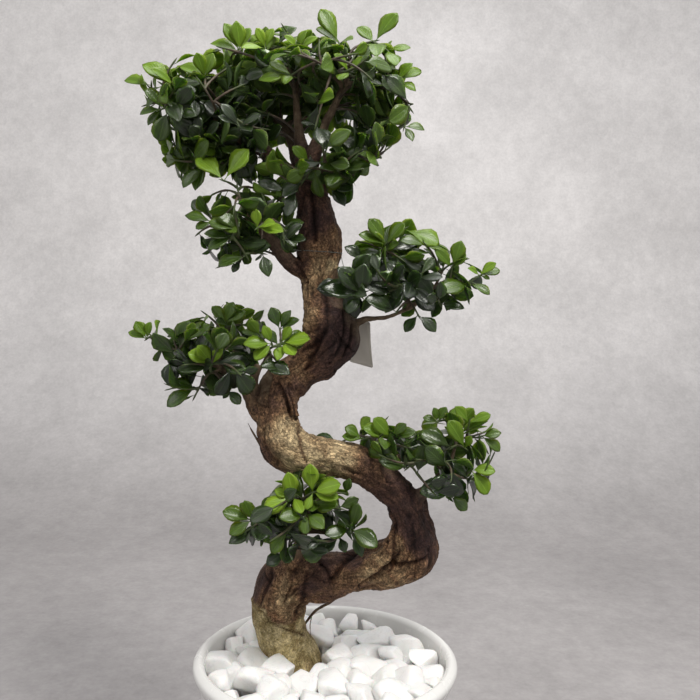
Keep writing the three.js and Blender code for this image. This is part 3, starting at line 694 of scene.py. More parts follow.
def pot_finish():
    """White glazed finish that is smooth but not quite even."""
    pot = Finish("pot_white", Roughness=0.24, Coat_Weight=0.25, Coat_Roughness=0.08)
    clouds = pot.cloud(pot.place(), 9, 3)
    colour = pot.ramp(clouds, (0.3, (0.725, 0.718, 0.7)), (0.7, (0.77, 0.763, 0.745)))
    wear = pot.ramp(pot.cloud(pot.place(), 60, 4), (0.35, 0.2), (0.7, 0.3))
    ripple = pot.bump(pot.cloud(pot.place(), 45, 2), 0.25 * MM, 0.25)
    pot.fill(pot.shader, {"Base Color": colour, "Roughness": wear, "Normal": ripple})
    return pot.material


def soil_finish():
    """Dark, crumbly potting soil."""
    soil = Finish("soil", Roughness=0.95)
    crumbs = soil.cloud(soil.place(), 190, 6, 0.7)
    colour = soil.ramp(crumbs, (0.35, (0.012, 0.008, 0.006)), (0.7, (0.075, 0.05, 0.033)))
    soil.fill(soil.shader, {"Base Color": colour, "Normal": soil.bump(crumbs, 3 * MM)})
    return soil.material


def card_finish():
    """Light grey plastic card darkened with painted shade, a little cloudy and scuffed."""
    card = Finish("label_plastic", Roughness=0.34)
    clouds = card.cloud(card.stretched(card.place(), 1, 1, 0.4), 42, 3)
    # The card's grey is darkened by painted shade
    colour = card.ramp(clouds, (0.3, (0.56, 0.53, 0.47)), (0.7, (0.68, 0.65, 0.58)))
    scuffs = card.ramp(card.cloud(card.place(), 240, 4), (0.4, 0.28), (0.65, 0.42))
    card.fill(card.shader, {"Base Color": colour, "Roughness": scuffs})
    return card.material


def thread_finish():
    """Clear nylon, a little clouded."""
    thread = Finish("thread_clear", Roughness=0.15, Transmission_Weight=0.6, IOR=1.45)
    clouds = thread.cloud(thread.place(), 90, 2)
    shade = thread.ramp(clouds, (0.3, (0.3, 0.32, 0.29)), (0.7, (0.42, 0.44, 0.4)))
    thread.fill(thread.shader, {"Base Color": shade})
    return thread.material


def stage_finish():
    """Pale plaster, mottled, a little deeper towards the floor."""
    stage = Finish("stage", Roughness=0.9, Specular_IOR_Level=0.2)
    place = stage.place()
    clouds = stage.cloud(place, 3.2, 3, 0.6)
    grains = stage.cloud(place, 26, 5, 0.7)
    pores = stage.cloud(place, 95, 4, 0.7)
    height = stage.node("SeparateXYZ", Vector=place).outputs["Z"]
    base = stage.ramp(height, (0.0, (0.42, 0.4, 0.4)), (0.35, (0.66, 0.638, 0.638)),
                      (1.0, (0.88, 0.855, 0.85)))
    colour = stage.shaded(base, 1.0, clouds, (0.35, 0.87), (0.65, 1.0))
    colour = stage.shaded(colour, 1.0, grains, (0.35, 0.88), (0.65, 1.0))
    colour = stage.shaded(colour, 1.0, pores, (0.35, 0.93), (0.65, 1.03))
    stage.fill(stage.shader, {"Base Color": colour})
    return stage.material


# Wood

STEM_RADII = (3.1 * MM, 2.1 * MM)  # of the bare stems between a limb and its sprays
SKIN_GRID = 1.75 * MM  # of the one skin that is drawn over trunk, limbs and strands
SKIN_GROWTH = 0.35 * MM  # for what smoothing takes off
GROOVE_DEPTH = 1.6  # mm that the bark is set back between two strands


class Timber:
    """Woody lines with their radii, so that a point on the bark knows its place along and round the wood."""

    def __init__(self):
        self.points = []
        self.lookup = []

    def add(self, line, radii):
        """Take in a line of wood, and give it back."""
        index = len({entry[0] for entry in self.lookup})
        walked = 10.0 * index
        for i, (point, radius, turn) in enumerate(zip(line, radii, carried_frames(line))):
            if i:
                walked += (point - line[i - 1]).length
            self.points.append(point)
            self.lookup.append((index, point, radius, turn, walked))
        return line, radii

    def settle(self):
        """Make the points ready for a search."""
        self.tree = KDTree(len(self.points))
        for i, point in enumerate(self.points):
            self.tree.insert(point, i)
        self.tree.balance()

    def grain(self, place):
        """The place as if the wood were straight, upright and unbent, and the wood's radius there."""
        near = self.tree.find_n(place, 8)
        _, index, _ = min(near, key=lambda hit: hit[2] - self.lookup[hit[1]][2])
        line, point, radius, (across, beside, onward), walked = self.lookup[index]
        offset = place - point
        return Vector((offset.dot(across), offset.dot(beside), walked + offset.dot(onward))), radius, line


def above_lip(place):
    """How far a point of the trunk is above the edge where the bark gives way to the foot's smooth skin."""
    ragged = 2.2 * noise.noise(place / (6 * MM)) + 3 * noise.noise(place / (25 * MM))
    return place.z - (np.interp(place.x / MM, *zip(*SKIN_EDGE)) + ragged) * MM


def relief(grain, radius):
    """How far the bark stands out at a point, in mm, and how deep in a furrow the point is, from 0 to 1."""
    fullness = min(1.0, radius / (20 * MM))
    swelling = 2.6 * noise.noise(grain / (21 * MM)) + 3.0 * (abs(noise.noise(grain / (33 * MM))) - 0.2)
    flutes = 1.7 * noise.noise(Vector((grain.x / (9 * MM), grain.y / (9 * MM), grain.z / (70 * MM))))
    across = noise.noise(Vector((grain.x / (15 * MM), grain.y / (15 * MM), grain.z / (60 * MM) + 7)))
    furrow = math.exp(-(across / 0.11) ** 2) * smooth_step(-0.15, 0.2, noise.noise(grain / (40 * MM)))
    warts = 1.2 * noise.noise(grain / (8 * MM)) + 0.6 * noise.noise(grain / (3.8 * MM))
    wrinkles = 0.4 * noise.noise(Vector((grain.x / (16 * MM), grain.y / (16 * MM), grain.z / (3.4 * MM))))
    height = fullness * (swelling + flutes - 2.4 * furrow) + (0.35 + 0.65 * fullness) * (warts + wrinkles)
    return height, furrow * fullness


def tones_and_light_at(places):
    """How pale the bark is at each place, its own colour together with painted light and shade, from the
    tones of the listed places nearest to it.
    """
    spots = np.array(BARK_TONES_AND_LIGHT)
    reach = np.linalg.norm(np.array(places)[:, None, :] - spots[None, :, :3] * MM, axis=2)
    weights = 1 / (reach + 4 * MM) ** 4
    return (weights * spots[None, :, 3]).sum(axis=1) / weights.sum(axis=1)


def creases_at(places, normals):
    """How far the creases set each point back, in mm, and how deep in one it is, from 0 to 1."""
    flat = np.array(places)[:, (0, 2)] / MM
    facing = np.clip((-np.array(normals)[:, 1] - 0.05) / 0.35, 0, 1)
    back = np.zeros(len(flat))
    deep = np.zeros(len(flat))
    for depth, half_width, line in CREASES:
        apart = np.full(len(flat), np.inf)
        for start, end in zip(np.array(line, float), np.array(line[1:], float)):
            step = end - start
            share = np.clip((flat - start) @ step / (step @ step), 0, 1)
            apart = np.minimum(apart, np.linalg.norm(flat - start - share[:, None] * step, axis=1))
        groove = np.exp(-(apart / half_width) ** 2) * facing
        lips = np.exp(-(apart / half_width - 2.3) ** 2) * facing
        back += depth * (groove - 0.28 * lips)
        deep = np.maximum(deep, groove)
    return back, deep


def stem_line(spray, timber):
    """A stem's line: it leaves its limb along the limb and ends halfway to its shoots' tips."""
    heading = spray.heading
    end = spray.start - heading * STEM_GAP
    middle = sum((shoot.line[-1] for shoot in spray.shoots), Vector()) / len(spray.shoots)
    point = 2 * end - middle
    _, index, _ = timber.tree.find(point)
    onward = timber.lookup[index][3][2]
    bend = 0.3 * (end - point).length
    return bezier([point, point + onward * bend, end - heading * bend, end], 9)


def grooves_of(form):
    """How deep in a groove between two strands each point lies, from 0 to 1."""
    bends = []
    for vert in form.verts:
        middle = sum((edge.other_vert(vert).co for edge in vert.link_edges), Vector()) / len(vert.link_edges)
        bends.append((middle - vert.co).dot(vert.normal) / (0.12 * MM))
    for _ in range(2):
        bends = [sum(bends[edge.other_vert(vert).index] for edge in vert.link_edges) / len(vert.link_edges)
                 for vert in form.verts]
    return [smooth_step(0.25, 1.2, bend) for bend in bends]


def one_skin(lines):
    """One closed skin over rods along these lines."""
    body = rods([(line, [radius + SKIN_GROWTH for radius in radii]) for line, radii in lines], 28)
    holder = bpy.data.objects.new("wood", body)
    bpy.context.scene.collection.objects.link(holder)
    remesh = holder.modifiers.new("one skin", "REMESH")
    remesh.mode = "VOXEL"
    remesh.voxel_size = SKIN_GRID
    form = bmesh.new()
    form.from_mesh(finished_mesh(holder))
    bpy.data.objects.remove(holder)
    for _ in range(3):
        rub_down(form, form.verts, 0.5)
    form.normal_update()
    return form


def raised_by_knobs(height, place):
    """The bark's height at a place, in mm, with the knobs and dents near it."""
    for x, y, z, reach, rise in KNOBS:
        apart = (place - Vector((x, y, z)) * MM).length / (reach * MM)
        height += rise * math.exp(-apart * apart) if apart < 3 else 0
    return height


def make_trunk(finish):
    """Trunk and limbs as one skin, with bare stems and fine roots, and the bark's relief on it."""
    timber = Timber()
    thick = [timber.add(*centripetal(TRUNK))] + [timber.add(*centripetal(limb)) for limb in LIMBS]
    timber.settle()
    fine = Timber()
    stems = []
    for spray in sprays.values():
        line = stem_line(spray, timber)
        stems.append((line, list(np.linspace(*STEM_RADII, len(line)))))
    roots = [centripetal(root, 4 * MM) for root in (AERIAL_ROOT, DEAD_ROOT, FAINT_ROOT)]
    for line, radii in stems + roots:
        fine.add(line, radii)
    fine.settle()

    form = one_skin(thick + [centripetal(strand) for strand in STRANDS])
    grooves = grooves_of(form)
    form.from_mesh(rods(stems, 8))
    form.from_mesh(rods(roots, 8))
    form.normal_update()

    layers = {name: form.verts.layers.float.new(name) for name in ("foot", "young", "tone_and_light", "crease_shade")}
    grain_layer = form.verts.layers.float_vector.new("grain")
    places = [vert.co.copy() for vert in form.verts]
    tones_and_light = tones_and_light_at(places)
    cuts, cut_shades = creases_at(places, [vert.normal.copy() for vert in form.verts])
    moves = []
    for i, vert in enumerate(form.verts):
        is_thick = i < len(grooves)
        grain, radius, line = (timber if is_thick else fine).grain(vert.co)
        bark = above_lip(vert.co) if is_thick and line == 0 else 1.0
        foot = smooth_step(1.5 * MM, -1.5 * MM, bark)
        horn = 1 + 1.2 * smooth_step(-70 * MM, -88 * MM, vert.co.x)
        lip = math.exp(bark / (7 * MM)) * foot
        height, furrow = relief(grain, radius)
        height = height * (1 - 0.5 * foot) + 1.5 * horn * lip
        crease_shade = 0.0
        if is_thick:
            height = raised_by_knobs(height, vert.co)
            crease_shade = max(grooves[i], cut_shades[i])
            height -= GROOVE_DEPTH * grooves[i] + cuts[i]
        moves.append(vert.normal * (height * MM))
        vert[grain_layer] = grain
        vert[layers["foot"]] = foot
        vert[layers["young"]] = smooth_step(11 * MM, 4 * MM, radius)
        vert[layers["tone_and_light"]] = tones_and_light[i]
        # Painted shade: how far the furrows, grooves and creases are darkened
        vert[layers["crease_shade"]] = min(1.0, 0.75 * furrow * (1 - foot) + crease_shade)
    for vert, move in zip(form.verts, moves):
        vert.co += move
    trunk = new_piece("trunk_bark", to_mesh("trunk_bark", form), finish)
    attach(trunk, "root")
    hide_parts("trunk")
    return trunk


# Foliage

BLADE_ROWS = (0, 0.14, 0.3, 0.47, 0.64, 0.8, 0.93, 1)  # shares of a leaf's length
STALK_END = 0.13  # of a leaf's length
NEAREST_LEAF = 4.6 * MM  # between the probes of two leaves
FARTHEST_LEAF = 34 * MM  # from the nearest leaf of the solids
BEYOND_HULL = 8 * MM  # that a leaf may reach out of the hull round its pad's solid leaves
CLEAR_OF_WOOD = 3 * MM
OVERHANG_LIMIT = 1.5 * MM  # beyond the pad's outline, for an added leaf
SOLID_OVERHANG_LIMIT = 5 * MM  # and for one of the solids' leaves
FRONT_LEAF_CLEARANCE = 8 * MM
BARE_LIMB_CLEARANCE = 6 * MM
ROSETTE_SPACING = 23 * MM
FARTHEST_TWIG = 50 * MM  # from a shoot's tip to a side twig's
LEAST_LEAVES = 3  # on an added shoot
LIMB_ATTEMPTS = 60  # at a leafy shoot from each limb
TWIG_REACH = 5 * MM  # how near a twig what it bears has to spring
TWIG_TAPER = (1.55, 0.9)  # mm, a twig's radius at its base and at its tip
BUD_RADII = [0.8 * MM, 0.12 * MM]
STALK_THICKNESS = 1.1 * MM
BLADE_THICKNESS = 0.45 * MM
# A new leaf's further tilt in degrees and its size, one after the other until it is clear of the rest
LEAF_TRIES = ((0, 1), (-12, 1), (12, 1), (-24, 0.9), (22, 0.9), (-8, 0.78), (10, 0.7))
FULLNESS = {"crown": 22, "upper_left": 24, "upper_right": 4, "middle_left": 6, "middle_right": 14,
            "lower_left": 26}
# Each pad's leaf age range from its bottom to its top, with painted light paling the top leaves
AGES_AND_LIGHT = {"crown": (0.52, 0.77), "upper_left": (0.16, 0.72), "upper_right": (0.04, 0.58),
        "middle_left": (0.03, 0.55), "middle_right": (0.06, 0.58), "lower_left": (0.08, 0.6)}


# Leaves that stand out in front: their age, darkened by painted shade where they hang in shadow, the point
# they spring from and their tips, in mm
FRONT_LEAVES = [
    (0.75, (-177, -25, 900), [(-208, -34, 922), (-197, -44, 913)]),
    (0.6, (-203, -22, 902), [(-234, -20, 907)]),
    (0.35, (-188, -30, 874), [(-204, -40, 892), (-211, -36, 866), (-204, -30, 856)]),
    (0.65, (-142, -30, 909), [(-149, -44, 930), (-170, -30, 920), (-133, -34, 934)]),
    (0.75, (-106, -20, 942), [(-122, -30, 968), (-138, -20, 951), (-94, -24, 966), (-108, -28, 972)]),
    (0.9, (-77, -25, 944), [(-86, -34, 962), (-69, -30, 964), (-100, -44, 936)]),
    (0.3, (-69, 10, 960), [(-48, 14, 985), (-54, -4, 970)]),
    (0.8, (-41, -20, 945), [(-31, -30, 962), (-56, -30, 956), (-20, -26, 957)]),
    (0.6, (4, -10, 957), [(-18, -14, 992), (20, -30, 954), (-20, 0, 979)]),
    (0.6, (44, -5, 960), [(68, -10, 992), (24, 0, 979), (46, -38, 932)]),
    (0.7, (58, -10, 950), [(84, -14, 952), (67, -34, 924)]),
    (0.7, (69, -20, 912), [(85, -26, 930), (96, -16, 926), (90, -22, 901)]),
    (0.4, (79, -10, 865), [(102, -6, 863), (88, -16, 847)]),
    (0.12, (-99, -62, 847), [(-116, -72, 867), (-118, -76, 852), (-75, -72, 855), (-84, -76, 838)]),
    (0.15, (-18, -60, 850), [(-7, -72, 824), (-33, -66, 850)]),
    (0.6, (-25, -40, 811), [(-42, -48, 831)]),
    (0.25, (7, -50, 806), [(29, -58, 828), (40, -56, 809), (-13, -66, 804), (-2, -70, 784)]),
    (0.75, (-45, -55, 904), [(-68, -60, 915), (-51, -70, 889), (-78, -62, 895)]),
    (0.75, (16, -50, 910), [(0, -60, 925), (30, -58, 923), (6, -66, 896)]),
    (0.85, (-116, -50, 792), [(-89, -54, 824), (-146, -44, 818)]),
    (0.45, (60, -20, 730), [(40, -26, 757), (30, -30, 740), (80, -28, 753)]),
    (0.7, (80, -20, 748), [(118, -26, 730), (73, -20, 756)]),
    (0.5, (135, -16, 706), [(144, -20, 736), (114, -22, 726), (150, -18, 722)]),
    (0.8, (167, -10, 699), [(184, -14, 713), (152, -20, 706)]),
    (0.45, (168, -8, 699), [(190, -6, 706), (178, -12, 695)]),
    (0.4, (156, -14, 689), [(177, -20, 678), (122, -30, 680)]),
    (0.15, (98, -14, 653), [(82, -18, 635), (118, -16, 635)]),
    (0.15, (122, -14, 666), [(149, -18, 662)]),
    (0.12, (33, -50, 671), [(8, -62, 700), (36, -64, 704), (-8, -60, 678), (19, -56, 652)]),
    (0.15, (72, -40, 655), [(38, -52, 669)]),
    (0.7, (69, -20, 515), [(49, -26, 536), (37, -28, 526)]),
    (0.6, (39, -16, 512), [(15, -18, 515)]),
    (0.35, (70, -16, 514), [(85, -22, 532), (97, -18, 523)]),
    (0.4, (122, -14, 533), [(117, -16, 549), (131, -18, 550), (106, -12, 538)]),
    (0.7, (158, -12, 532), [(141, -18, 551), (181, -14, 543)]),
    (0.4, (173, -8, 517), [(195, -10, 520), (193, -12, 501)]),
    (0.8, (159, -24, 481), [(185, -28, 482), (178, -30, 457)]),
    (0.3, (137, -20, 451), [(155, -24, 436)]),
    (0.15, (139, -40, 464), [(101, -50, 459)]),
    (0.3, (87, -40, 485), [(55, -50, 495)]),
    (0.3, (98, -36, 478), [(104, -46, 511)]),
    (0.6, (151, -30, 506), [(157, -36, 520), (131, -34, 536)]),
    (0.3, (138, -20, 505), [(103, -16, 522)]),
    (0.95, (-36, -60, 455), [(-41, -66, 483), (-65, -72, 445), (-24, -76, 443), (-56, -60, 462)]),
    (0.9, (-15, -62, 461), [(-19, -66, 492), (14, -70, 473), (12, -70, 456), (-21, -72, 445)]),
    (0.45, (-22, -66, 440), [(-22, -78, 421), (-48, -80, 437), (-1, -80, 429)]),
    (0.3, (26, -50, 420), [(35, -56, 448), (55, -62, 406), (-1, -62, 416)]),
    (0.4, (-40, -64, 420), [(-58, -72, 400)]),
    (0.4, (-82, -40, 425), [(-90, -44, 447), (-113, -46, 435), (-104, -50, 411)]),
    (0.85, (-126, -50, 595), [(-140, -58, 615), (-115, -54, 613), (-150, -60, 606)]),
    (0.2, (-128, -50, 591), [(-161, -60, 589)]),
    (0.8, (-62, -50, 618), [(-91, -60, 617), (-71, -56, 637), (-79, -60, 601)]),
    (0.9, (-52, -46, 619), [(-21, -56, 623), (-37, -60, 606), (-56, -60, 601), (-43, -50, 637)]),
    (0.2, (-50, -50, 592), [(-72, -62, 595)]),
    (0.25, (-119, -50, 598), [(-88, -62, 588)]),
    (0.4, (-118, -14, 640), [(-134, -16, 658), (-111, -16, 664), (-96, -18, 655)]),
    (0.6, (-208, -10, 621), [(-219, -12, 641), (-203, -14, 640), (-229, -8, 629)]),
    (0.3, (-146, -36, 568), [(-176, -44, 550), (-170, -44, 574)]),
    (0.3, (-57, -16, 634), [(-68, -18, 658), (-46, -20, 656), (-35, -24, 645)]),
    (0.6, (-120, -56, 747), [(-99, -66, 735)]),
    (0.9, (-77, -66, 740), [(-78, -72, 758), (-57, -76, 744), (-50, -74, 734)]),
    (0.4, (-98, -62, 737), [(-128, -66, 746), (-120, -60, 761)]),
    (0.3, (-105, -60, 730), [(-128, -68, 716), (-133, -66, 732)]),
    (0.1, (-51, -50, 730), [(-31, -60, 745), (-27, -62, 729)]),
    (0.3, (-91, -50, 712), [(-118, -60, 699)]),
    (0.2, (-75, -40, 716), [(-67, -46, 691)]),
    (0.3, (-55, -40, 742), [(-30, -48, 749), (-38, -46, 724)]),
    (0.15, (-71, -50, 596), [(-42, -60, 586)]),
    (0.1, (-32, -40, 795), [(-54, -48, 777)]),
    (0.1, (-3, -40, 790), [(14, -48, 768), (21, -50, 784)]),
    (0.35, (-101, -45, 757), [(-105, -56, 736)]),
    (0.1, (-102, -20, 709), [(-110, -24, 697)]),
    (0.12, (-49, -42, 783), [(-80, -48, 792)]),
    (0.12, (-39, -42, 787), [(-49, -50, 755)]),
    (0.35, (-129, -44, 749), [(-158, -46, 755), (-145, -50, 740)]),
    (0.3, (-143, -20, 815), [(-165, -22, 789), (-152, -24, 787)]),
    (0.15, (38, -18, 710), [(15, -20, 728)]),
    (0.12, (67, -40, 675), [(38, -46, 681)]),
    (0.15, (-77, -40, 415), [(-106, -46, 402)]),
    (0.12, (-42, -34, 390), [(-65, -40, 376)]),
    (0.12, (14, -40, 409), [(-5, -46, 395), (21, -48, 394)]),
    (0.15, (28, -42, 412), [(40, -50, 391)]),
    (0.3, (19, -30, 454), [(24, -32, 471)]),
    (0.3, (-55, -46, 616), [(-69, -50, 632)]),
    (0.2, (-112, -30, 566), [(-97, -34, 552)]),
    (0.5, (37, -14, 513), [(18, -16, 525)]),
    (0.2, (10, 14, 502), [(-16, 16, 511)]),
]

# The pads' outlines as they show in the photograph: x and z in mm on the upright plane through the trunk
PAD_OUTLINES = {
    "crown": [
        (-221, 925), (-211, 936), (-191, 930), (-179, 937), (-161, 949), (-145, 960), (-130, 976),
        (-102, 981), (-84, 977), (-58, 974), (-30, 974), (-16, 967), (10, 967), (41, 970), (64, 959),
        (73, 946), (87, 932), (88, 915), (78, 900), (86, 878), (77, 862), (66, 855), (49, 845), (48, 827),
        (32, 811), (21, 795), (10, 776), (-4, 783), (-42, 764), (-81, 782), (-118, 797), (-146, 813),
        (-160, 795), (-172, 795), (-175, 812), (-195, 821), (-197, 847), (-187, 853), (-214, 864),
        (-221, 882), (-215, 902),
    ],
    "upper_left": [
        (-146, 813), (-118, 802), (-81, 786), (-40, 773), (-38, 723), (-80, 720), (-105, 708), (-133, 703),
        (-151, 724), (-154, 737), (-132, 748), (-156, 758), (-168, 764), (-154, 785),
    ],
    "upper_right": [
        (13, 731), (34, 735), (40, 754), (68, 755), (88, 757), (113, 744), (121, 730), (148, 740), (153, 724),
        (173, 713), (189, 713), (190, 704), (178, 693), (181, 675), (147, 671), (149, 658), (120, 637),
        (86, 634), (76, 645), (35, 656), (21, 650), (7, 669), (-13, 676), (-14, 687), (2, 710),
    ],
    "middle_left": [
        (-232, 631), (-221, 640), (-205, 639), (-182, 634), (-146, 646), (-134, 660), (-100, 663), (-95, 647),
        (-68, 659), (-40, 655), (-22, 625), (-35, 609), (-53, 581), (-78, 583), (-101, 547), (-138, 560),
        (-190, 542), (-195, 567), (-184, 590), (-211, 597), (-198, 613), (-225, 610),
    ],
    "middle_right": [
        (13, 511), (28, 524), (48, 536), (71, 521), (89, 532), (100, 522), (110, 506), (104, 533), (118, 546),
        (156, 551), (185, 544), (197, 519), (197, 498), (173, 498), (187, 475), (181, 447), (160, 442),
        (156, 432), (135, 444), (103, 438), (103, 453), (123, 467), (118, 485), (91, 478), (59, 481),
        (31, 500),
    ],
    "lower_left": [
        (-122, 426), (-98, 438), (-72, 438), (-65, 455), (-51, 471), (-36, 469), (-30, 482), (-15, 482),
        (1, 472), (28, 463), (25, 449), (43, 438), (49, 417), (62, 391), (44, 376), (26, 364), (14, 382),
        (-18, 375), (-58, 361), (-68, 367), (-82, 388), (-114, 385), (-115, 399),
    ],
}

# The stretches of limbs that the leaves in front leave bare, on the same plane
BARE_LIMBS = [
    [(-37, 862), (-43, 896), (-48, 940)], [(-12, 864), (4, 897), (19, 934)],
    [(-50, 714), (-66, 731), (-82, 751)],
]
LIMB_FRONT = -12 * MM  # a leaf farther back than this hides none of them

# Dark hollows among the crown's leaves, with painted shade on the leaves round them: x, y, z and reach in mm
HOLLOWS = [
    (-125, -66, 884, 34), (-92, -70, 888, 36), (-62, -66, 874, 32), (-20, -62, 884, 24), (22, -58, 868, 26),
    (-96, -60, 838, 20), (-30, -60, 830, 20),
]


def on_plane(places):
    """Places as they show, from the camera, on the upright plane through the trunk: x and z."""
    shown = [CAMERA_PLACE.lerp(p, CAMERA_PLACE.y / (CAMERA_PLACE.y - p.y)) for p in places]
    return np.array([(place.x, place.z) for place in shown])


dark_places = [(Vector((x, y, z)) * MM, reach * MM) for x, y, z, reach in HOLLOWS]
front_middles = [Vector(root).lerp(Vector(tip), 0.6) * MM for _, root, tips in FRONT_LEAVES for tip in tips]
front_shown = on_plane(front_middles)
front_depths = np.array([place.y for place in front_middles])


def shown_from_front(leaf):
    """A leaf's probes as they show on the upright plane, one to a row."""
    return on_plane(leaf.probes())[:, None, :]


def distances(places, start, step):
    """How far each place is from each line, all on the upright plane."""
    share = np.clip(((places - start) * step).sum(axis=2) / (step * step).sum(axis=1), 0, 1)
    return np.linalg.norm(places - start - share[:, :, None] * step, axis=2)


def overhang(leaf, pad):
    """How far a leaf shows beyond its pad's outline."""
    shown = shown_from_front(leaf)
    start = np.array(PAD_OUTLINES[pad]) * MM
    step = np.roll(start, -1, axis=0) - start
    apart = distances(shown, start, step).min(axis=1)
    rise = (shown[:, :, 1] - start[:, 1]) / (step[:, 1] + 1e-9)
    crossed = (rise > 0) & (rise <= 1) & (shown[:, :, 0] < start[:, 0] + step[:, 0] * rise)
    return np.where(crossed.sum(axis=1) % 2 == 1, 0, apart).max()


def is_in_the_way(leaf):
    """Whether a leaf hangs in a hollow, or hides a front leaf or a bare stretch of a limb."""
    middle = leaf.point(0.6)
    if any((middle - centre).length < reach for centre, reach in dark_places):
        return True
    shown = shown_from_front(leaf)
    hidden = np.linalg.norm(shown - front_shown, axis=2).min(axis=0) < FRONT_LEAF_CLEARANCE
    if (hidden & (front_depths > middle.y)).any():
        return True
    if middle.y > LIMB_FRONT:
        return False
    for line in BARE_LIMBS:
        start = np.array(line[:-1]) * MM
        step = np.array(line[1:]) * MM - start
        if distances(shown, start, step).min() < BARE_LIMB_CLEARANCE:
            return True
    return False


class Room:
    """The leaves placed so far, by the small cells that their probes lie in, and the hull of each pad."""

    def __init__(self, wood):
        self.cells = {}
        self.hulls = {}
        self.middles = {}
        pads = {}
        for spray in sprays.values():
            pads.setdefault(spray.pad, []).extend(spray.all_leaves())
        leaves = [leaf for pad in pads.values() for leaf in pad]
        probes = [probe for leaf in leaves for probe in leaf.probes()]
        self.solids = KDTree(len(probes))
        for i, probe in enumerate(probes):
            self.solids.insert(probe, i)
        self.solids.balance()
        for name, pad in pads.items():
            form = bmesh.new()
            for leaf in pad:
                for probe in leaf.probes():
                    form.verts.new(probe)
            bmesh.ops.convex_hull(form, input=form.verts)
            form.normal_update()
            self.hulls[name] = [(face.calc_center_median(), face.normal.copy()) for face in form.faces]
            self.middles[name] = sum((leaf.root for leaf in pad), Vector()) / len(pad)
            form.free()
        form = bmesh.new()
        form.from_mesh(wood.data)
        self.wood = BVHTree.FromBMesh(form)
        form.free()
        for leaf in leaves:
            self.add(leaf)

    def cell(self, place):
        """The small cell that a place lies in."""
        return tuple(math.floor(c / NEAREST_LEAF) for c in place)

    def add(self, leaf):
        """Take in a leaf."""
        for probe in leaf.probes():
            self.cells.setdefault(self.cell(probe), []).append(probe)

    def depth(self, place, pad):
        """How deep a point lies within its pad's outline, below 0 outside it."""
        return min((face - place).dot(normal) for face, normal in self.hulls[pad])

    def is_clear(self, leaf, pad):
        """Whether a leaf stays with its pad, and clear of the wood, the other leaves and what has to show."""
        probes = leaf.probes()
        for probe in probes:
            if self.solids.find(probe)[2] > FARTHEST_LEAF or self.depth(probe, pad) < -BEYOND_HULL:
                return False
            x, y, z = self.cell(probe)
            for near in itertools.product((x - 1, x, x + 1), (y - 1, y, y + 1), (z - 1, z, z + 1)):
                if any((other - probe).length < NEAREST_LEAF for other in self.cells.get(near, ())):
                    return False
        if any(self.wood.find_nearest(probe, CLEAR_OF_WOOD)[0] is not None for probe in probes[1:4]):
            return False
        return overhang(leaf, pad) < OVERHANG_LIMIT and not is_in_the_way(leaf)


def new_leaf(line, order, count, seed, tilt_more, size, middle):
    """A leaf of a shoot, counted from its tip: the lower on the shoot, the longer it is and the wider it
    spreads. It faces away from its pad's middle."""
    length = length_of(line)
    leafy = min(LEAF_SPACING * count, 0.75 * length) / length
    point, axis = at_share(line, 1 - leafy * (order + 0.5) / count)
    outward = outward_of(axis, 2 * math.pi * draw(seed, 21) + order * GOLDEN_ANGLE)
    tilt = math.radians(min(80, 22 + 11 * order + 14 * (draw(seed, order, 22) - 0.5)) + tilt_more)
    along = axis * math.cos(tilt) + outward * math.sin(tilt) + UP * 0.12
    normal = axis * math.sin(tilt) - outward * math.cos(tilt) + UP * 0.2 + (point - middle).normalized() * 0.6
    length = size * LEAF_LENGTH * (min(1.0, 0.66 + 0.13 * order) + 0.18 * (draw(seed, order, 23) - 0.5))
    return Leaf(point + outward * 1.2 * MM, along, normal, length)


def leaf_up(line, count, seed, room, pad):
    """The leaves of one more shoot, each tilted or shortened where it would meet another."""
    leaves = []
    for order in range(count):
        for tilt_more, size in LEAF_TRIES:
            leaf = new_leaf(line, order, count, seed, tilt_more, size, room.middles[pad])
            if room.is_clear(leaf, pad):
                leaves.append(leaf)
                room.add(leaf)
                break
    return leaves


def outward_of(axis, turn):
    """A direction straight out from a line that runs along an axis, turned round it."""
    return Matrix.Rotation(turn, 3, axis) @ axis.orthogonal().normalized()


def side_way(axis, turn, spread, rise):
    """The way of a twig that branches off along an axis, turned round it and spread from it."""
    outward = outward_of(axis, turn)
    return (axis * math.cos(spread) + outward * math.sin(spread) + UP * rise).normalized()


def side_line(point, axis, way, length):
    """A side twig's line: it leaves along its parent and then takes its own way."""
    return bezier([point, point + (axis + way) * 0.25 * length, point + way * length], 13)


def more_shoots(index, spray, rosettes, room):
    """Side twigs for a spray, wherever there is room for another rosette of leaves."""
    grown = []
    for number, shoot in enumerate(spray.shoots):
        for attempt in range(FULLNESS[spray.pad]):
            seed = 1000 * index + 100 * number + attempt
            point, axis = at_share(shoot.line, mix(0.08, 0.8, draw(seed, 1)))
            turn = attempt * GOLDEN_ANGLE + draw(seed, 2)
            way = side_way(axis, turn, math.radians(mix(38, 85, draw(seed, 3))), 0.15)
            length = mix(24, 44, draw(seed, 4)) * MM
            tip = point + way * length
            if way.z < -0.45 or apart_from(rosettes, tip) < ROSETTE_SPACING:
                continue
            if (tip - shoot.line[-1]).length > FARTHEST_TWIG:
                continue
            line = side_line(point, axis, way, length)
            leaves = leaf_up(line, 6 + round(2 * draw(seed, 5)), seed, room, spray.pad)
            if len(leaves) >= LEAST_LEAVES:
                grown.append(Shoot(line, leaves))
                rosettes.append(tip)
    return grown


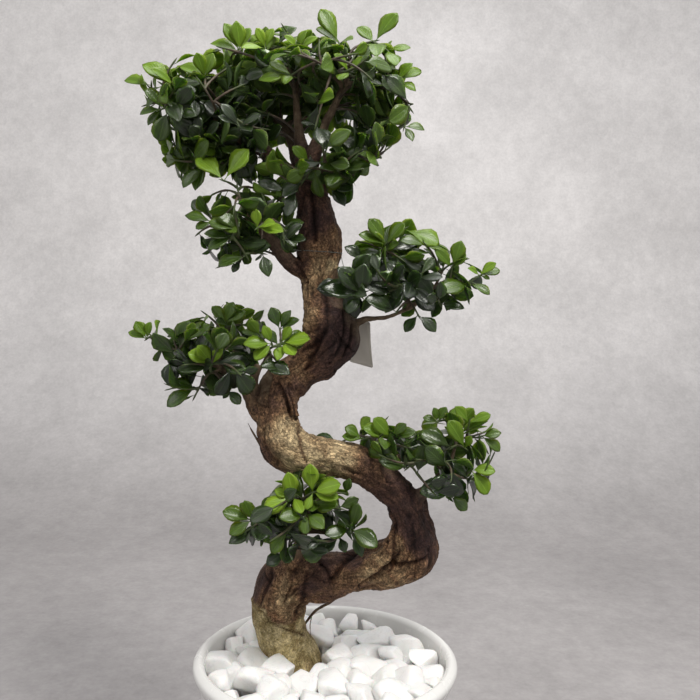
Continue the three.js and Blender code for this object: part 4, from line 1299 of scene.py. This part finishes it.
def front_shoots(room):
    """A shoot for each group of front leaves, on the nearest twig."""
    for age_and_light, root, tips in FRONT_LEAVES:
        root = Vector(root) * MM
        spray = min(sprays.values(),
                    key=lambda spray: min(apart_from(shoot.line, root) for shoot in spray.shoots))
        shoot = min(spray.shoots, key=lambda shoot: apart_from(shoot.line, root))
        fork = min(shoot.line[:-1],
                   key=lambda point: (point - root).length + 0.3 * (point - shoot.line[0]).length)
        reach = (root - fork).length
        leaves = []
        for number, tip in enumerate(tips):
            way = Vector(tip) * MM - root
            normal = Vector((0.3 * (draw(number, round(age_and_light * 100)) - 0.5), -0.75, 0.55))
            normal = (normal - way * normal.dot(way) / way.length_squared).normalized()
            along = way + normal * LEAF_DROOP * way.length
            leaves.append(Leaf(root, along, normal, way.length, age_and_light))
            room.add(leaves[-1])
        spray.shoots.append(Shoot(bezier([fork, fork.lerp(root, 0.5) + UP * 0.1 * reach, root], 13), leaves))


def limb_shoots(room, pad, limbs):
    """Short leafy shoots straight from the limbs, which fill a pad's inside."""
    for number, limb in enumerate(limbs):
        line, _ = centripetal(limb)
        for attempt in range(LIMB_ATTEMPTS):
            seed = 9000 + 100 * number + attempt
            point, axis = at_share(line, mix(0.3, 1.0, draw(seed, 1)))
            turn = attempt * GOLDEN_ANGLE
            way = side_way(axis, turn, math.radians(mix(35, 90, draw(seed, 3))), 0.1)
            length = mix(22, 62, draw(seed, 4)) * MM
            tip = point + way * length
            twig = side_line(point, axis, way, length)
            leaves = leaf_up(twig, 6 + round(2 * draw(seed, 5)), seed, room, pad)
            if len(leaves) >= LEAST_LEAVES:
                spray = min((spray for spray in sprays.values() if spray.pad == pad),
                            key=lambda spray: (spray.shoots[0].line[0] - tip).length)
                spray.shoots.append(Shoot(twig, leaves))


def half_width(share, leaf, seed):
    """Half a leaf's width: a slim stalk, then an obovate blade with a blunt tip."""
    blade = max(0.0, (share - STALK_END) / (1 - STALK_END))
    widest = 0.5 * leaf.length * (0.6 + 0.14 * (draw(seed, 31) - 0.5))
    swell = math.sin(math.pi * min(1.0, blade) ** mix(1.1, 1.6, draw(seed, 32)))
    stalk = 0.6 * MM * (1 - smooth_step(0.1, 0.3, share))
    blunt_tip = 0.06 * widest * (share == 1)
    return max(stalk, widest * max(0.0, swell) ** mix(0.56, 0.92, draw(seed, 38)), blunt_tip)


def grow_leaf(form, layer, leaf, seed):
    """A leaf as a thin lens: an upper and a lower skin that meet all round its edge."""
    side = leaf.along.cross(leaf.normal)
    fold = mix(0.08, 0.42, draw(seed, 33))
    wave = mix(0.0, 0.9, draw(seed, 34)) * MM
    phase = 2 * math.pi * draw(seed, 35)
    lean = 0.12 * (draw(seed, 36) - 0.5)
    curl = 0.25 * draw(seed, 37)
    rows = len(BLADE_ROWS) - 1
    for skin in (0, 1):
        grid = bmesh.ops.create_grid(form, x_segments=4, y_segments=rows, size=0.5, calc_uvs=True)
        for vert in grid["verts"]:
            across = 2 * vert.co.x
            share = BLADE_ROWS[round((vert.co.y + 0.5) * rows)]
            width = half_width(share, leaf, seed)
            aside = across * width
            blade = smooth_step(STALK_END, 0.35, share)
            lift = -LEAF_DROOP * share * share * leaf.length
            waving = wave * across * across * math.sin(7.5 * share + phase * across)
            lift += blade * (fold * abs(aside) + waving)
            lift -= curl * max(0.0, share - 0.7) ** 2 * leaf.length
            thick = mix(STALK_THICKNESS, BLADE_THICKNESS, smooth_step(0.05, 0.2, share))
            lift -= skin * thick * (1 - across * across) * (share < 1) * (share > 0)
            aside += lean * share * share * leaf.length
            vert.co = leaf.root + leaf.along * (share * leaf.length) + side * aside + leaf.normal * lift
            vert[layer] = leaf.age_and_light
            if skin:
                for face in vert.link_faces:
                    face.material_index = 1


def twig_rods(shoots):
    """The twigs of a spray, each with a swelling at its leaves and a pointed bud beyond its tip."""
    lines = []
    for shoot in shoots:
        end, onward = at_share(shoot.line, 1.0)
        points = shoot.line[::2] + [end + onward * 3 * MM, end + onward * 6.5 * MM]
        count = len(points) - 2
        radii = [mix(*TWIG_TAPER, i / count) * MM * (1 + 0.14 * math.sin(2.3 * i)) for i in range(count)]
        lines.append((points, radii + BUD_RADII))
    return rods(lines, 6)


def make_spray(name, index, shoots, finishes):
    """A spray's piece: its leaves and its twigs, which are greener towards their tips."""
    form = bmesh.new()
    form.loops.layers.uv.new("blade")
    layer = form.verts.layers.float.new("age_and_light")
    for number, shoot in enumerate(shoots):
        for order, leaf in enumerate(shoot.leaves):
            grow_leaf(form, layer, leaf, 997 * index + 37 * number + order)
    bmesh.ops.remove_doubles(form, verts=form.verts, dist=0.002 * MM)
    leafy = len(form.faces)
    form.from_mesh(twig_rods(shoots))
    form.faces.ensure_lookup_table()
    tips = [shoot.line[-1] for shoot in shoots]
    for face in form.faces[leafy:]:
        face.material_index = 2
        for vert in face.verts:
            vert[layer] = 1 - smooth_step(2 * MM, 14 * MM, min((vert.co - tip).length for tip in tips))
    spray = new_piece(name + "_leaves", to_mesh(name, form), *finishes)
    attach(spray, "root")
    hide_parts(name)


def age_and_light_of_leaves(spray, low, high, index, room):
    """The leaves nearest a shoot's tip are young, and painted light pales them most at a pad's top. Painted
    shade darkens the leaves deep inside and round the hollows.
    """
    for number, shoot in enumerate(spray.shoots):
        vigour = mix(0.55, 1.2, draw(index, number, 41))
        for order, leaf in enumerate(shoot.leaves):
            middle = leaf.point(0.6)
            sun = smooth_step(0.3, 0.85, (middle.z - low) / (high - low))
            inner = smooth_step(4 * MM, 34 * MM, room.depth(middle, spray.pad))
            open_air = min((middle - centre).length / reach for centre, reach in dark_places)
            age_and_light = mix(*AGES_AND_LIGHT[spray.pad], sun) * vigour * (1.0 - 0.08 * order)
            age_and_light += 0.26 * (draw(index, number, order) - 0.5)
            age_and_light *= (1 - 0.6 * inner) * mix(0.3, 1, smooth_step(0.9, 1.7, open_air))
            leaf.age_and_light = leaf.age_and_light or min(1.0, max(0.001, age_and_light))


def trim(shoots):
    """The shoots cut back to their outermost leaf or fork, without those that bear nothing."""
    kept = []
    for shoot in shoots:
        borne = [leaf.root for leaf in shoot.leaves]
        borne += [other.line[0] for other in shoots if other is not shoot and other.leaves]
        reached = 0
        for place in borne:
            near = min(range(len(shoot.line)), key=lambda i: (shoot.line[i] - place).length)
            if (shoot.line[near] - place).length < TWIG_REACH:
                reached = max(reached, near)
        if reached:
            kept.append(Shoot(shoot.line[:reached + 2], shoot.leaves))
    return kept


def make_foliage(trunk):
    """The solids' leaves that can stay, the listed ones in front, and as many more as there is room for."""
    upper = leaf_finish("leaf_upper", UPPER_GREENS, roughness=0.34, gloss=0.4, coat=0.4)
    under = leaf_finish("leaf_under", UNDER_GREENS, roughness=0.55, gloss=0.12, coat=0.0)
    finishes = (upper, under, twig_finish())
    room = Room(trunk)
    for spray in sprays.values():
        for shoot in spray.shoots:
            shoot.leaves = [leaf for leaf in shoot.leaves
                            if overhang(leaf, spray.pad) < SOLID_OVERHANG_LIMIT and not is_in_the_way(leaf)]
    front_shoots(room)
    rosettes = [shoot.line[-1] for spray in sprays.values() for shoot in spray.shoots]
    for index, spray in enumerate(sprays.values()):
        spray.shoots += more_shoots(index, spray, rosettes, room)
    limb_shoots(room, "crown", CROWN_LIMBS)
    heights = {}
    for spray in sprays.values():
        spray.shoots = trim(spray.shoots)
        heights.setdefault(spray.pad, []).extend(leaf.point(0.6).z for leaf in spray.all_leaves())
    for index, (name, spray) in enumerate(sprays.items()):
        age_and_light_of_leaves(spray, min(heights[spray.pad]), max(heights[spray.pad]), index, room)
        make_spray(name, index, spray.shoots, finishes)


# Pot, soil and pebbles

POT_SEGMENTS = 96
POT_FOOT = 118  # mm, the radius above the foot's rounded edge
POT_FLOOR = 7  # mm, the height of the floor inside


def arc(centre, radius, start, end, steps):
    """Points (r, z) on an arc, from a start to an end angle in degrees."""
    angles = [math.radians(mix(start, end, i / steps)) for i in range(steps + 1)]
    return [(centre[0] + radius * math.cos(a), centre[1] + radius * math.sin(a)) for a in angles]


def turn_up(name, profile, finish):
    """A body spun about the upright axis from its profile of radius and height in mm."""
    form = bmesh.new()
    verts = [form.verts.new((r * MM, 0, z * MM)) for r, z in profile]
    edges = [form.edges.new(pair) for pair in zip(verts, verts[1:])]
    bmesh.ops.spin(form, geom=verts + edges, cent=(0, 0, 0), axis=(0, 0, 1), angle=2 * math.pi,
                   steps=POT_SEGMENTS, use_merge=True)
    bmesh.ops.remove_doubles(form, verts=form.verts, dist=0.01 * MM)
    return new_piece(name, to_mesh(name, form), finish)


def make_pot(finish):
    """The open pot: a rounded foot, a slightly tapered wall, and a rolled rim with a groove under it."""
    _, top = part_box("pot")
    rim, height = top.x / MM, top.z / MM
    profile = [(0, 0), (POT_FOOT - 7, 0)] + arc((POT_FOOT - 7, 4), 4, -90, -10, 4) + [(POT_FOOT, 15)]
    profile += [(mix(POT_FOOT, rim - 7, i / 8), mix(15, height - 24, i / 8)) for i in range(1, 9)]
    profile += arc((rim - 6, height - 15.5), 3.2, 250, 345, 4)[1:]
    profile += arc((rim - 6.2, height - 8), 6.2, -30, 60, 8)
    profile += arc((rim - 6.4, height - 6.6), 6.6, 75, 180, 8)[1:]
    profile += [(mix(rim - 13, POT_FOOT - 5, i / 8), mix(height - 14, POT_FLOOR + 1, i / 8))
                for i in range(9)] + [(0, POT_FLOOR)]
    pot = turn_up("pot_shell", profile, finish)
    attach(pot, "root")
    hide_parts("pot")


def make_soil(finish):
    """A crumbly bed that fills the pot up to the pebbles."""
    low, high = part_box("soil")
    form = bmesh.new()
    bmesh.ops.create_circle(form, cap_ends=False, segments=64, radius=high.x - 2 * MM,
                            matrix=Matrix.Translation((0, 0, high.z - 3 * MM)))
    rings = bmesh.ops.extrude_edge_only(form, edges=form.edges[:])
    bottom = [v for v in rings["geom"] if isinstance(v, bmesh.types.BMVert)]
    bmesh.ops.scale(form, vec=(0.83, 0.83, 1), verts=bottom)
    bmesh.ops.translate(form, vec=(0, 0, low.z + 2 * MM - high.z), verts=bottom)
    bmesh.ops.holes_fill(form, edges=form.edges[:], sides=0)
    soil = new_piece("potting_soil", to_mesh("potting_soil", form), finish, smooth=False)
    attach(soil, "root")
    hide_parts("soil")


STONES_ON_TOP = 56
STONES_BELOW = 70
STONE_LEVEL = 238 * MM
LAYER_DROP = 13 * MM
STONE_SIZES = (24, 47)  # mm
HEAP_AT_BACK = 7 * MM
HEAP_ON_LEFT = 8 * MM
UNEVENNESS = 8 * MM
PUSHES = 160
TRUNK_FOOT = (-34 * MM, 35 * MM)
TRUNK_FOOT_RADIUS = 31 * MM


def stone_places():
    """Where the stones lie, upper layer first, pushed apart until they only touch."""
    _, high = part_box("pebbles")
    wall = high.x + 3 * MM
    places, sizes = [], []
    layers = ((0, STONES_ON_TOP, STONE_LEVEL), (1, STONES_BELOW, STONE_LEVEL - LAYER_DROP))
    for layer, count, level in layers:
        for i in range(count):
            size = mix(*STONE_SIZES, draw(i, 7 + 40 * layer)) * MM * (1 - 0.22 * layer)
            reach = (wall - 0.48 * size) * math.sqrt((i + 0.5) / count)
            angle = i * GOLDEN_ANGLE + 0.3 * (draw(i, 8) - 0.5) + 1.1 * layer
            heap = HEAP_AT_BACK * smooth_step(0, 90 * MM, reach * math.sin(angle))
            heap += HEAP_ON_LEFT * smooth_step(20 * MM, 90 * MM, -reach * math.cos(angle))
            rest = level + heap + UNEVENNESS * (draw(i, 9 + layer) - 0.4)
            place = (reach * math.cos(angle), reach * math.sin(angle), rest)
            places.append(place)
            sizes.append(size)
    places, sizes = np.array(places), np.array(sizes)
    rests = places[:, 2].copy()
    for _ in range(PUSHES):
        apart = places[:, None, :] - places[None, :, :]
        # Stones are flat, so they pack closer one above another than side by side
        apart[:, :, 2] *= 1.35
        gap = np.linalg.norm(apart, axis=2) + np.eye(len(places))
        overlap = np.maximum(0, 0.44 * (sizes[:, None] + sizes[None, :]) - gap) * (1 - np.eye(len(places)))
        places += 0.22 * (apart / gap[:, :, None] * overlap[:, :, None]).sum(axis=1)
        places[:, 2] = mix(places[:, 2], rests, 0.25)
        for centre, radius, inwards in (((0, 0), wall, True), (TRUNK_FOOT, TRUNK_FOOT_RADIUS, False)):
            offset = places[:, :2] - np.array(centre)
            reach = np.linalg.norm(offset, axis=1)
            limit = radius - 0.45 * sizes if inwards else radius + 0.42 * sizes
            wanted = np.minimum(reach, limit) if inwards else np.maximum(reach, limit)
            places[:, :2] = np.array(centre) + offset / reach[:, None] * wanted[:, None]
    return [Vector(place) for place in places], list(sizes)


def add_stone(form, place, size, seed):
    """A broken stone tumbled smooth: a ball with flats cut on it and its edges rubbed down."""
    tilt = Matrix.Rotation(2 * math.pi * draw(seed, 51), 3, "Z") @ Matrix.Rotation(
        0.9 * (draw(seed, 52) - 0.5), 3, "X") @ Matrix.Rotation(0.9 * (draw(seed, 53) - 0.5), 3, "Y")
    stretch = Vector((1.0, mix(0.66, 0.95, draw(seed, 54)), mix(0.52, 0.8, draw(seed, 55))))
    ball = bmesh.ops.create_icosphere(form, subdivisions=3, radius=1)["verts"]
    flats = []
    for i in range(7):
        height = 1 - 2 * (i + draw(seed, i, 56)) / 7
        angle = i * GOLDEN_ANGLE + draw(seed, i, 57)
        across = math.sqrt(max(0.0, 1 - height * height))
        flats.append((Vector((across * math.cos(angle), across * math.sin(angle), height)),
                      mix(0.44, 0.74, draw(seed, i, 58))))
    for vert in ball:
        for way, depth in flats:
            beyond = vert.co.dot(way) - depth
            if beyond > 0:
                vert.co -= way * beyond
    rub_down(form, ball, 0.45)
    for vert in ball:
        rough = 1 + 0.04 * noise.noise(vert.co * 2.2 + Vector((seed, 0, 0)))
        vert.co = place + tilt @ Vector(c * s for c, s in zip(vert.co, stretch)) * (0.72 * size * rough)


def make_pebbles(finish):
    """The marble stones round the trunk's foot."""
    form = bmesh.new()
    for seed, (place, size) in enumerate(zip(*stone_places())):
        add_stone(form, place, size, seed)
    pebbles = new_piece("marble_pebbles", to_mesh("marble_pebbles", form), finish)
    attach(pebbles, "root")
    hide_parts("pebbles")


# Label

CARD_CORNER = Vector((45, 31, 645)) * MM
CARD_DOWN = Vector((5, 18, -55)).normalized()
CARD_LEFT = Vector((-31, 29, 11))
CARD_SIZE = (40 * MM, 58 * MM, 0.8 * MM)
CARD_BOW = 1.2 * MM
CARD_ROUNDING = 2.5 * MM
THREAD_RADIUS = 0.4 * MM
THREAD_HEIGHT_SHARE = 0.897  # of the trunk's length
THREAD_ALONG_CARD = 20 * MM
LOOP_STEPS = 48


def make_label(finish):
    """The blank card that hangs behind the knee. It returns the place where the thread is fixed."""
    left = (CARD_LEFT - CARD_DOWN * CARD_LEFT.dot(CARD_DOWN)).normalized()
    out = left.cross(CARD_DOWN)
    width, height, thick = CARD_SIZE
    form = bmesh.new()
    bmesh.ops.create_grid(form, x_segments=8, y_segments=10, size=0.5)
    for vert in form.verts:
        x, y = vert.co.x + 0.5, vert.co.y + 0.5
        bow = CARD_BOW * (1 - (2 * y - 1) ** 2)
        vert.co = CARD_CORNER + left * x * width + CARD_DOWN * y * height + out * bow
    corners = [v for v in form.verts if len(v.link_faces) == 1]
    bmesh.ops.bevel(form, geom=corners, offset=CARD_ROUNDING, segments=4, profile=0.5, affect="VERTICES",
                    material=-1)
    bmesh.ops.solidify(form, geom=form.faces[:], thickness=thick)
    card = new_piece("label_card", to_mesh("label_card", form), finish)
    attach(card, "root")
    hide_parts("label")
    return CARD_CORNER + left * THREAD_ALONG_CARD + CARD_DOWN * 3 * MM + out * thick / 2


def make_thread(trunk, fixing, finish):
    """The clear thread: a loop drawn tight round the upper trunk, and its end that holds the card."""
    form = bmesh.new()
    form.from_mesh(trunk.data)
    bark = BVHTree.FromBMesh(form)
    form.free()
    line, _ = centripetal(TRUNK)
    centre, onward = at_share(line, THREAD_HEIGHT_SHARE)
    across = onward.orthogonal().normalized()
    loop = []
    for i in range(LOOP_STEPS):
        way = Matrix.Rotation(2 * math.pi * i / LOOP_STEPS, 3, onward) @ across
        hit = bark.ray_cast(centre + way * 60 * MM, -way)[0]
        loop.append(hit + way * THREAD_RADIUS)
    knot = min(loop, key=lambda p: (p - fixing).length)
    loop.append(loop[0])
    sag = [knot.lerp(fixing, t) - UP * 4 * MM * math.sin(math.pi * t) * (1 - t)
           for t in np.linspace(0, 1, 14)]
    lines = [(line, [THREAD_RADIUS] * len(line)) for line in (loop, sag)]
    thread = new_piece("label_thread", rods(lines, 8), finish)
    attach(thread, "root")


# Stage, light and camera

def make_stage(finish):
    """A pale floor that sweeps up behind into a pale wall."""
    form = bmesh.new()
    back, bend, top, front, wide = 2.4, 1.1, 3.6, -4.0, 5.0
    profile = [(front, 0)] + [(back - bend + bend * math.sin(a), bend - bend * math.cos(a))
                              for a in np.linspace(0, math.pi / 2, 17)] + [(back, top)]
    verts = [form.verts.new((-wide, y, z)) for y, z in profile]
    edges = [form.edges.new(pair) for pair in zip(verts, verts[1:])]
    made = bmesh.ops.extrude_edge_only(form, edges=edges)
    bmesh.ops.translate(form, vec=(2 * wide, 0, 0),
                        verts=[v for v in made["geom"] if isinstance(v, bmesh.types.BMVert)])
    mesh = bpy.data.meshes.new("floor")
    form.to_mesh(mesh)
    form.free()
    new_piece("floor", mesh, finish)


def add_light(name, place, target, size, power, colour=(1, 1, 1)):
    """A round lamp of this size that faces a target."""
    light = bpy.data.lights.new(name, "AREA")
    light.shape = "DISK"
    light.size = size
    light.energy = power
    light.color = colour
    holder = bpy.data.objects.new(name, light)
    bpy.context.scene.collection.objects.link(holder)
    holder.location = place
    holder.rotation_euler = (Vector(target) - Vector(place)).to_track_quat("-Z", "Y").to_euler()


def make_light():
    """A bright, even surround, with a soft key light from the upper right."""
    world = bpy.data.worlds.new("studio")
    bpy.context.scene.world = world
    world.use_nodes = True
    background = world.node_tree.nodes["Background"]
    background.inputs["Color"].default_value = (0.99, 0.985, 0.98, 1)
    background.inputs["Strength"].default_value = 0.62
    add_light("key", (0.6, -0.8, 2.1), (0, 0, 0.6), 0.6, 30, (1.0, 0.98, 0.94))
    add_light("side", (-1.1, -1.0, 1.6), (0, 0, 0.6), 0.9, 5, (1.0, 0.98, 0.95))
    add_light("top", (0.3, 0.2, 2.5), (0, 0, 0.6), 1.0, 14)
    add_light("backdrop", (0.2, 0.9, 2.4), (0.1, 2.4, 1.1), 1.6, 7)


# The camera, as the photograph's: it looks nearly level from in front, a little rolled
CAMERA_DOWN = math.radians(0.75)
CAMERA_ROLL = math.radians(0.95)
CAMERA_FOCAL = 720 / 700  # of the picture's width
SENSOR_WIDTH = 36  # mm


def make_camera():
    """The camera at the photograph's place, with its frame."""
    camera = bpy.data.cameras.new("camera")
    camera.sensor_width = SENSOR_WIDTH
    camera.lens = SENSOR_WIDTH * CAMERA_FOCAL
    holder = bpy.data.objects.new("camera", camera)
    bpy.context.scene.collection.objects.link(holder)
    holder.location = CAMERA_PLACE
    level = Matrix.Rotation(math.pi / 2 - CAMERA_DOWN, 4, "X")
    holder.rotation_euler = (level @ Matrix.Rotation(CAMERA_ROLL, 4, "Z")).to_euler()
    bpy.context.scene.camera = holder


bpy.context.scene.view_settings.view_transform = "Standard"
make_camera()
make_light()
make_stage(stage_finish())
trunk = make_trunk(bark_finish())
make_foliage(trunk)
make_pot(pot_finish())
make_soil(soil_finish())
make_pebbles(marble_finish())
fixing = make_label(card_finish())
make_thread(trunk, fixing, thread_finish())
